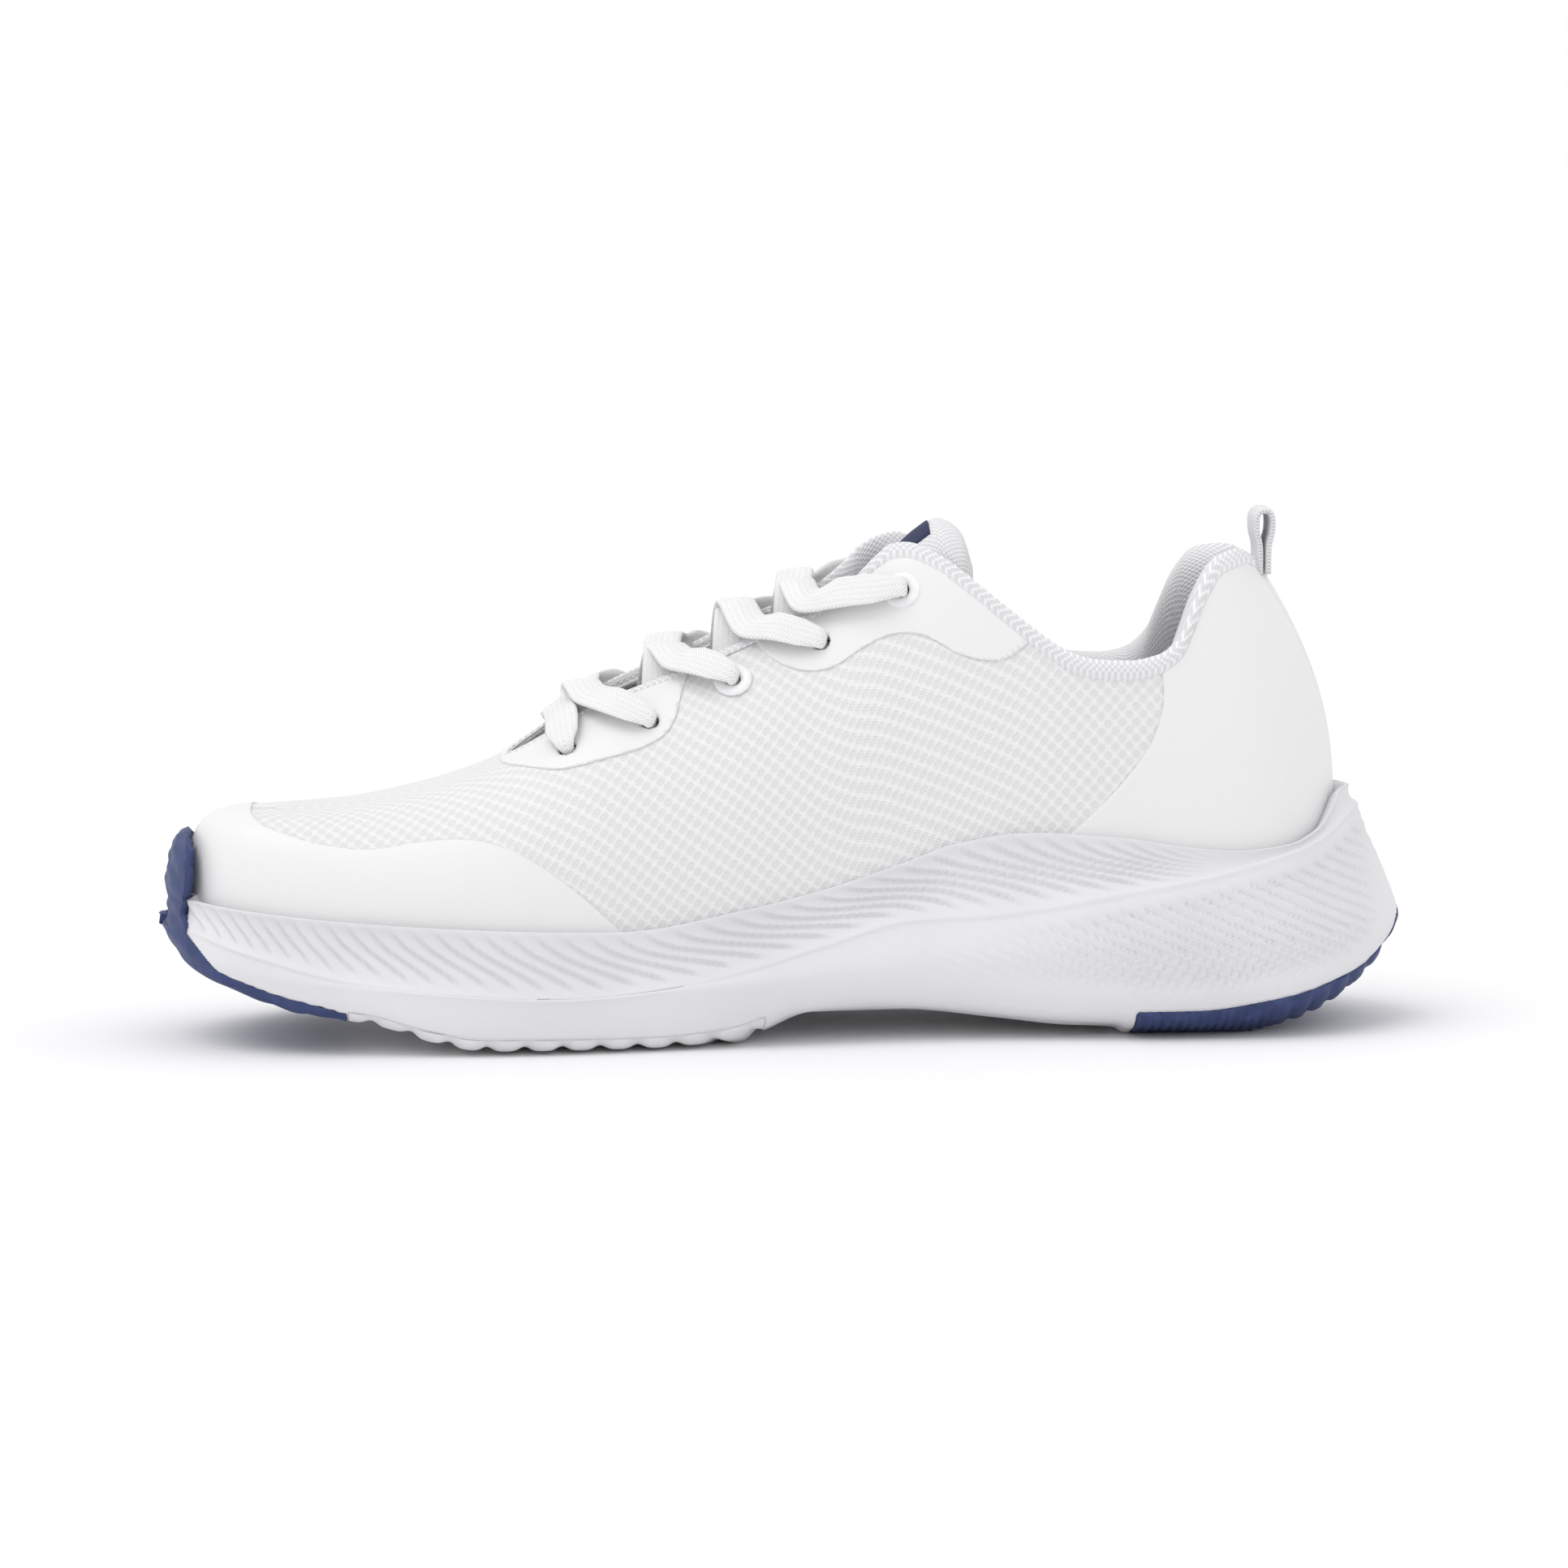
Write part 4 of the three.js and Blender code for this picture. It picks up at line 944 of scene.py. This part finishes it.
def close_section(moved, inward, towards):
    """Rows that close a section over the top: lateral ledge, foot bed, medial ledge."""
    def ledge(rim, inwards):
        x = rim[:, 0]
        rows = []
        for step, height in ((1.2, rim[:, 2] + 0.15), (2.6, rim[:, 2] - 1.2), (6.5, rim[:, 2] - 6)):
            place = rim[:, :2] + inwards * step
            rows.append(np.column_stack([place, height]))
        bed = rim[:, :2] + inwards * 8
        rows.append(np.column_stack([bed, foot_bed(x)]))
        return rows

    medial = ledge(moved[:, 0], inward[: SECTIONS + 1])
    lateral = ledge(moved[:, -1], towards)
    across = [lateral[-1] + (medial[-1] - lateral[-1]) * t for t in np.linspace(0.125, 0.875, 7)]
    return np.stack([*lateral, *across, *medial[::-1]], axis=1)


def build_rubber(name, node, material, outside, cover, relief):
    """A rubber pad: the part of the sole's outside that cover keeps, pushed out by relief."""
    points, band = outside()[:2]
    moved = points + grid_normals(points) * relief(points, band)[..., None]
    moved[..., 2] = np.maximum(moved[..., 2], 0.02)
    sheet = grid_sheet(moved, points[..., [0, 1]]).clipped(cover(points.reshape(-1, 3)))
    piece = make_object(name, sheet, material, weld=0.01, thickness=2.2, flip=True)
    finish_piece(piece, "shoe", [node])


def forefoot_relief(p, band):
    x, y = p[..., 0], p[..., 1]
    sway = 2.2 * np.cos(y * math.pi / 22)
    across = valley((x + sway) / LUG_PITCH, 0.2)
    middle = valley((y + 4) / 30, 0.035)
    return -1.1 * np.maximum(across, np.where(band == TREAD, middle, 0))


def heel_relief(p, band):
    x = p[..., 0]
    across = np.where(band == TREAD, valley(x / 6.2, 0.13), 0)
    scallop = smooth(112, 122, x) * valley(x / 5, 0.2) * 0.8
    teeth = np.where(band != TREAD, smooth(120, 112, x) * valley(x / 2.2, 0.25) * 0.6, 0)
    return (0.35 - np.maximum.reduce([across, scallop, teeth])) * smooth(149.5, 146, x)


def toe_relief(p, band):
    x, y, z = p[..., 0], p[..., 1], p[..., 2]
    lumps = 0.3 * np.sin(x * 0.9 + y * 0.7) * np.sin(z * 1.1 + x * 0.4)
    across = np.where(band == TREAD, 0.9 * valley(x / 7, 0.14), 0)
    over_rim = 1.6 * np.exp(-(((z - bite_line(x) + 3) / 5.5) ** 2)) * smooth(-138, -146, x)
    return lumps - across + over_rim


TOE_END = -100  # x behind the toe rubber's end
BUMPER_TOP, BUMPER_ROWS = 50.6, 30  # height where the toe rubber ends, and its rows over the rim
bumper_fullness = curve([[0, 1], [0.2, 1.4], [0.6, 1.36], [0.85, 1.2], [0.95, 0.8], [1, 0.25]])


def bumper_rows(rim, base):
    """Rows from the sole's rim up over the toe tip. They start at the rim's own distance from the upper."""
    share = np.linspace(0, 1, BUMPER_ROWS + 1)[None, 1:]
    z = rim[:, 2:] + (BUMPER_TOP - rim[:, 2:]) * share
    low, high = bite_line(base[:, :1]), crown(TOE_POLE)
    turn = np.arcsin(np.clip((z - low) / (high - low), 0, 1))
    skin = form(base[:, None, :], turn, 0.0)
    offset = rim[:, :2] - base
    points = skin[..., :2] + offset[:, None, :] * bumper_fullness(share)[..., None]
    return np.concatenate([points, z[..., None]], axis=-1)


def toe_outside():
    """The sole's outside near the toe, carried on up over the toe tip on both sides."""
    points, band, _, _ = sole_outside()
    count = int((points[:, 0, 0] < TOE_END).sum())
    points, band = points[:count], band[:count]
    medial, lateral = (UPPER.evenly(side, SECTIONS)[:count] for side in (-1, 1))
    above = bumper_rows(points[:, 0], medial)[:, ::-1], bumper_rows(points[:, -1], lateral)
    extra = np.ones((count, BUMPER_ROWS))
    whole = np.concatenate([above[0], points, above[1]], axis=1)
    return whole, np.concatenate([extra, band, extra], axis=1)


# ---------------------------------------------------------------- round and strip pieces
def frame_on_skin(side, x, z):
    """Origin on the skin and three directions: outward, and two along the skin."""
    origin, normal = skin_frame(side, x, z)
    first = np.cross(normal, [0, 0, 1.0])
    first /= np.linalg.norm(first)
    return origin, normal, first, np.cross(normal, first)


def lathe(profile, origin, axis, first, second, segments=48):
    """Ring turned from a closed profile of [radius, height] points."""
    angle = np.linspace(0, 2 * np.pi, segments, endpoint=False)
    radius, height = np.array(profile, float).T
    spokes = np.cos(angle)[:, None, None] * first + np.sin(angle)[:, None, None] * second
    points = origin + spokes * radius[None, :, None] + height[None, :, None] * axis
    flat = points.reshape(-1, 3)
    return Sheet(flat, tube_faces(segments, len(profile), closed=True), flat[:, :2])


RING_PROFILE = [  # [radius, height over the skin]
    [1.75, -4.6], [2.35, -4.6], [2.35, -1.0], [4.45, -1.0], [4.6, -0.75], [4.5, -0.4], [4.1, -0.12],
    [3.4, 0.02], [2.7, -0.02], [2.1, -0.25], [1.8, -0.7],
]
WASHER_PROFILE = [[2.6, -4.95], [4.6, -4.95], [4.6, -4.35], [4.3, -4.2], [2.6, -4.2]]


def build_eyelets(plastic):
    for name, side in SIDES.items():
        for i, (x, z, ringed) in enumerate(EYELETS, 1):
            if not ringed:
                continue
            place = frame_on_skin(side, x, z)
            ring = make_object(f"ring_{name}_{i}", lathe(RING_PROFILE, *place), plastic, flip=True)
            finish_piece(ring, "shoe", [f"eyelet_ring_{name}_{i}"])
            washer = make_object(f"washer_{name}_{i}", lathe(WASHER_PROFILE, *place), plastic, flip=True)
            finish_piece(washer, "shoe", [f"eyelet_washer_{name}_{i}"])


STRIP_STEPS = 12  # points of a strip's curve to each station


def run_along(points):
    """Length along a line up to each of its points."""
    return np.concatenate([[0], np.cumsum(np.linalg.norm(np.diff(points, axis=0), axis=1))])


def strip(stations, section, step=0.7):
    """Sheet along [point, sideways direction, width, thickness] stations. section is [across, up] points."""
    centre = spline([s[0] for s in stations], STRIP_STEPS)
    run = run_along(centre)
    even = np.linspace(0, run[-1], max(int(run[-1] / step), 4))
    key_run = run[::STRIP_STEPS]
    centre = np.column_stack([np.interp(even, run, centre[:, k]) for k in range(3)])
    aside = np.array([s[1] for s in stations])
    aside = unit(np.column_stack([np.interp(even, key_run, aside[:, k]) for k in range(3)]))
    width = np.interp(even, key_run, [s[2] for s in stations])
    thick = np.interp(even, key_run, [s[3] for s in stations])
    ahead = unit(np.gradient(centre, axis=0))
    up = unit(np.cross(aside, ahead))
    across, high = np.array(section, float).T
    spots = (
        centre[:, None]
        + aside[:, None] * (across[None, :] * width[:, None] / 2)[..., None]
        + up[:, None] * (high[None, :] * thick[:, None] / 2)[..., None]
    )
    pattern = np.stack(np.broadcast_arrays(even[:, None], across[None, :] * width[:, None] / 2), axis=-1)
    faces = tube_faces(len(even), len(section), capped=True)
    return Sheet(spots.reshape(-1, 3), faces, pattern.reshape(-1, 2))


def flat_section(count=9, thinning=0.25):
    """Section of a soft flat ribbon: rounded edges and a slight crown."""
    across = np.cos(np.linspace(0, np.pi, count))
    across = np.sign(across) * np.abs(across) ** 0.8
    edge = (1 - across**6) ** 0.5 * (1 - thinning * across**2)
    upper = list(zip(across, edge))
    lower = list(zip(across[::-1][1:-1], -edge[::-1][1:-1]))
    return upper + lower


def merged(sheets):
    points = np.vstack([s.points for s in sheets])
    pattern = np.vstack([s.pattern for s in sheets])
    faces, start = [], 0
    for s in sheets:
        faces.extend(tuple(i + start for i in face) for face in s.faces)
        start += len(s.points)
    return Sheet(points, faces, pattern)


# ---------------------------------------------------------------- the lace
LACE_WIDTH, LACE_THICKNESS = 9.0, 2.1
OUTSIDE, INSIDE = -1.1, 5.5  # depth of the lace's middle over and behind a flap


def edge_height(side, x):
    """Height of the skin at the throat edge of a flap."""
    z = np.linspace(bite_line(x), crown(x) - 0.01, 600)
    points = np.array([skin_point(side, x, value) for value in z])
    inside = np.abs(points[:, 1] - ridge_side(x)) > throat_half_width(x) - 0.6
    return z[inside][-1]


def flap_run(side, x, eyelet, depth, ring_lift=0.0, arch=0.0):
    """Lace points over or behind a flap, from its throat edge at x to an eyelet, and the way out at each."""
    top = edge_height(side, x)
    run = []
    for t in (0, 0.35, 0.7, 1):
        px, pz = x + (eyelet[0] - x) * t, top + (eyelet[1] - top) * t
        lift = ring_lift * smooth(0.2, 0.7, t) + arch * math.sin(math.pi * (0.15 + 0.85 * t))
        run.append((under_skin(side, px, pz, depth - lift), skin_frame(side, px, pz)[1]))
    return run


def dive(side, eyelet, start, end):
    """Points down through an eyelet's hole."""
    origin, normal = skin_frame(side, eyelet[0], eyelet[1])
    return [origin - normal * depth for depth in (start, (start + end) / 2, end)]


def lace_strip(points, asides, widths, thicks):
    return strip(list(zip(points, asides, widths, thicks)), flat_section())


def asides_of(points, ups):
    ahead = unit(np.gradient(np.array(points), axis=0))
    return list(unit(np.cross(ahead, np.array(ups))))


# Where each crossing leaves one flap and lands on the other, as shares of the way to its next eyelet.
CROSSINGS = [(0.05, 0.35), (0.05, 0.4), (-0.1, 0.25), (-0.4, -0.1)]


def crossing(side, a, b, shares, over):
    """From behind the flap at eyelet a, over the ridge and across the other flap into eyelet b."""
    leave, land = (a[0] + (b[0] - a[0]) * share for share in shares)
    behind = flap_run(-side, leave, a, INSIDE)[::-1]
    ahead = flap_run(side, land, b, OUTSIDE, 0.75 if b[2] else 0.0, arch=1.9)
    middle = (leave + land) / 2
    top = np.array([middle, ridge_side(middle), crown(middle) + (4.2 if over else 2.2)])
    run = [*behind, (top, np.array([0, 0, 1.0])), *ahead]
    points, ups = [p for p, _ in run], [n for _, n in run]
    asides = asides_of(points, ups)
    sink = dive(side, b, 0.9, INSIDE)
    widths = [5.5, 7, *[LACE_WIDTH] * 5, 8, 5.4, 3.6, 3.2, 3.2]
    thicks = [*[LACE_THICKNESS] * 7, 1.5, 2.1, 2.4, 2.6, 2.6]
    return lace_strip(points + sink, asides + [asides[-1]] * 3, widths, thicks)


def first_bar():
    """The straight bar across the front of the throat, down into both first eyelets."""
    eyelet = EYELETS[0]
    runs = [flap_run(side, eyelet[0], eyelet, OUTSIDE, arch=0.8) for side in (-1, 1)]
    spots = runs[0][::-1] + runs[1]
    asides = asides_of([p for p, _ in spots], [n for _, n in spots])
    start, end = dive(-1, eyelet, 0.6, INSIDE)[::-1], dive(1, eyelet, 0.6, INSIDE)
    widths = [3.2, 3.2, 3.4, 4.6, 7.6, LACE_WIDTH, LACE_WIDTH]
    thicks = [2.6, 2.6, 2.4, 1.7, *[LACE_THICKNESS] * 3]
    points = start + [p for p, _ in spots] + end
    asides = [asides[0]] * 3 + asides + [asides[-1]] * 3
    return lace_strip(points, asides, widths + widths[::-1], thicks + thicks[::-1])


# Route of an end that is tucked in beside the tongue: [x, z, extra depth].
TAIL = [[26, 107.5, 0], [16, 97, 0.5], [4, 84, 1.2], [-10, 72, 2]]
TAIL_DEPTH = 7.45  # depth under the skin of the tucked part


def tail(side):
    points = [under_skin(side, x, z, TAIL_DEPTH + extra) for x, z, extra in TAIL]
    points[0] = under_skin(side, TAIL[0][0], TAIL[0][1], INSIDE)
    ups = [skin_frame(side, x, z)[1] for x, z, _ in TAIL]
    return lace_strip(points, asides_of(points, ups), [4, 6.4, 6.4, 3], [1.6, 1.3, 1.3, 2])


def build_lace(weave):
    parts = [first_bar()]
    for side in SIDES.values():
        for i, (a, b) in enumerate(zip(EYELETS, EYELETS[1:])):
            parts.append(crossing(side, a, b, CROSSINGS[i], over=(i % 2 == 0) == (side < 0)))
        parts.append(tail(side))
    piece = make_object("flat_lace", merged(parts), weave)
    finish_piece(piece, "shoe", ["lace"])


# ---------------------------------------------------------------- the tongue
TONGUE_TOP = [
    [15, 100.5], [21.5, 108.5], [27, 115.6], [32, 120.2], [37, 122.8], [42.5, 119.5], [45, 112.5],
]
TONGUE_DEPTH, TONGUE_THICKNESS = 12.5, 5.2
tongue_centre = curve([[-73, -9], [-40, -4], [-14, 0.4], [26, 1.8]])
tongue_half_width = curve([[-73, 13], [-46, 15], [-14, 15.5], [10, 13.5], [44, 13]])
tongue_droop = curve([[-73, 1 / 60], [-46, 1 / 45], [-14, 1 / 34], [10, 1 / 28], [26, 1 / 26]])


def tongue_path():
    """Centre line of the tongue's face and the direction out of it, both as [x, z]."""
    x = np.linspace(-73, 7, 6)
    line = spline(np.vstack([np.column_stack([x, crown(x) - TONGUE_DEPTH]), TONGUE_TOP]), 14)
    ahead = unit(np.gradient(line, axis=0))
    return line, np.column_stack([-ahead[:, 1], ahead[:, 0]])


def tongue_points(across, depth):
    """Points of the tongue at shares of its half width and a depth under its face."""
    line, out = tongue_path()
    x = line[:, 0][:, None]
    y = across[None, :] * tongue_half_width(x)
    sink = depth[None, :]
    z = line[:, 1][:, None] - out[:, 1:] * sink - y * y * tongue_droop(x)
    return np.stack([x - out[:, :1] * sink, y + tongue_centre(x), z], axis=-1)


def build_tongue(mesh_cloth, label):
    angle = np.linspace(0, 2 * np.pi, 56, endpoint=False)
    across = np.sign(np.cos(angle)) * np.abs(np.cos(angle)) ** 0.45
    depth = TONGUE_THICKNESS / 2 * (1 - np.sign(np.sin(angle)) * np.abs(np.sin(angle)) ** 0.8)
    points = tongue_points(across, depth)
    count, rows = points.shape[:2]
    line, _ = tongue_path()
    lengths = run_along(line)[:, None], run_along(points[count // 2])[None, :]
    pattern = np.stack(np.broadcast_arrays(*lengths), axis=-1)
    faces = tube_faces(count, rows, capped=True)
    sheet = Sheet(points.reshape(-1, 3), faces, pattern.reshape(-1, 2))
    piece = make_object("tongue_body", sheet, mesh_cloth)
    finish_piece(piece, "tongue", ["tongue_shell", "tongue_foam", "tongue_lining"])
    patch = tongue_points(np.linspace(-0.62, 0.62, 15), np.full(15, -0.25))
    patch = patch[(line[:, 0] > 22.5) & (line[:, 0] < 34.5)]
    shown = make_object("tongue_patch", grid_sheet(patch, patch[..., :2]), label, thickness=0.5)
    finish_piece(shown, "tongue", ["tongue_label"])


# ---------------------------------------------------------------- pieces inside, and the pull loop
SOCKLINER_END, SOCKLINER_SIDE = 8, 6.6  # how far it lies inside the upper's plan
SOCKLINER_LIFT, SOCKLINER_THICKNESS = 6.3, 3.4  # its top over the foot bed, and its thickness


def build_sockliner(cloth):
    """The loose insole, with its edges turned up a little."""
    x = UPPER.stations(160)
    length = x[-1] - x[0]
    x = x[0] + SOCKLINER_END + (x - x[0]) * (length - 2 * SOCKLINER_END) / length
    share = np.linspace(-1, 1, 25)
    medial, lateral = UPPER.y(-1, x), UPPER.y(1, x)
    middle, half = (medial + lateral) / 2, (lateral - medial) / 2
    round_end = np.sqrt(np.clip(1 - ((np.abs(x - x.mean()) / (x[-1] - x.mean())) ** 12), 0, 1))
    half = np.clip(half - SOCKLINER_SIDE, 0, None) * round_end
    y = middle[:, None] + half[:, None] * share[None, :]
    z = foot_bed(x)[:, None] + SOCKLINER_LIFT + 1.6 * np.abs(share[None, :]) ** 6
    points = np.stack([np.broadcast_to(x[:, None], y.shape), y, z], axis=-1)
    sheet = grid_sheet(points, points[..., :2])
    piece = make_object("sockliner_sheet", sheet, cloth, thickness=SOCKLINER_THICKNESS)
    finish_piece(piece, "sockliner", ["sockliner"])


def build_stiffeners(board):
    """Toe puff, heel counter and throat tapes, between the knit and the lining."""
    sheet = upper_sheet(STIFFENER_DEPTH)
    p = sheet.points
    tape = inside_outline([[-60, 67], [-30, 72], [5, 88], [36, 100], [36, 125], [-60, 125]])(p)
    in_throat = np.minimum.reduce([tape, outside_holes(p), below_seam(COLLAR_SEAM)])
    pieces = {
        "toe_puff": -116 - p[:, 0],
        "heel_counter": np.minimum(p[:, 0] - 84 - 0.25 * (p[:, 2] - 50), 80 - p[:, 2]),
        "throat_tape_medial": np.minimum(in_throat, -4 - p[:, 1]),
        "throat_tape_lateral": np.minimum(in_throat, p[:, 1] - 4),
    }
    for name, keep in pieces.items():
        piece = make_object(name + "_sheet", sheet.clipped(keep), board, weld=0.02, thickness=0.7)
        finish_piece(piece, "shoe", [name])


LOOP = {"x": 116, "z": 116.2, "height": 9.3, "web": 1.9, "width": 13}  # x and z are its foot's


def build_pull_loop(webbing):
    """Webbing folded into a slim loop. Its ends run down together between the collar and the heel tape."""
    foot, top = LOOP["z"], LOOP["z"] + LOOP["height"]
    half = [
        [1.0, foot - 7], [1.0, foot - 3], [1.15, foot], [1.9, foot + 3.4], [1.9, top - 2.6], [1.1, top - 1.2],
    ]
    path = [*[[-x, z] for x, z in half], [0, top - 0.95], *half[::-1]]
    sideways = np.array([0, -1.0, 0])
    stations = [(np.array([LOOP["x"] + x, 0, z]), sideways, LOOP["width"], LOOP["web"]) for x, z in path]
    sheet = strip(stations, flat_section(11, 0.1), 0.4)
    piece = make_object("pull_loop_webbing", sheet, webbing)
    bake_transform(piece)
    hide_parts("pull_loop")


def paint(node, material):
    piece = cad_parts[node]
    piece.data.materials.clear()
    piece.data.materials.append(material)


# ---------------------------------------------------------------- the scene
make_camera()
make_stage()
bpy.context.view_layer.update()
knit = knit_material("knit_mesh", (0.78, 0.78, 0.785), (0.68, 0.68, 0.685), (3.4, 1.9), 0.16)
film, foam = film_material(), foam_material()
navy = rubber_material("navy_rubber", (0.02, 0.036, 0.125), (0.034, 0.055, 0.17))
white = rubber_material("white_rubber", (0.69, 0.69, 0.7), (0.74, 0.74, 0.75))
lining = lining_material()
weave = weave_material("lace_weave", (0.84, 0.84, 0.84), (0.74, 0.74, 0.745), LACE_WIDTH)
webbing = weave_material("webbing", (0.80, 0.80, 0.82), (0.5, 0.5, 0.52), LOOP["width"])
plastic = plain_material("eyelet_plastic", (0.84, 0.84, 0.85), 0.3)
board = plain_material("board", (0.7, 0.68, 0.62), 0.9)
stiff = plain_material("stiffener", (0.75, 0.75, 0.74), 0.8)
label = plain_material("label_patch", (0.014, 0.02, 0.075), 0.7)

build_knit(knit)
build_overlays(film)
build_roll(lining)
build_midsole(foam)
build_rubber("toe_rubber", "outsole_toe_rubber", navy, toe_outside, toe_cover, toe_relief)
build_rubber(
    "forefoot_rubber", "outsole_forefoot", white,
    sole_outside, forefoot_cover, forefoot_relief,
)
build_rubber("heel_rubber", "outsole_heel_rubber", navy, sole_outside, heel_cover, heel_relief)
build_eyelets(plastic)
build_lace(weave)
build_tongue(lining, label)
build_sockliner(lining)
build_stiffeners(stiff)
build_pull_loop(webbing)
paint("strobel_board", board)
for side_name in SIDES:
    paint(f"aglet_{side_name}", plastic)
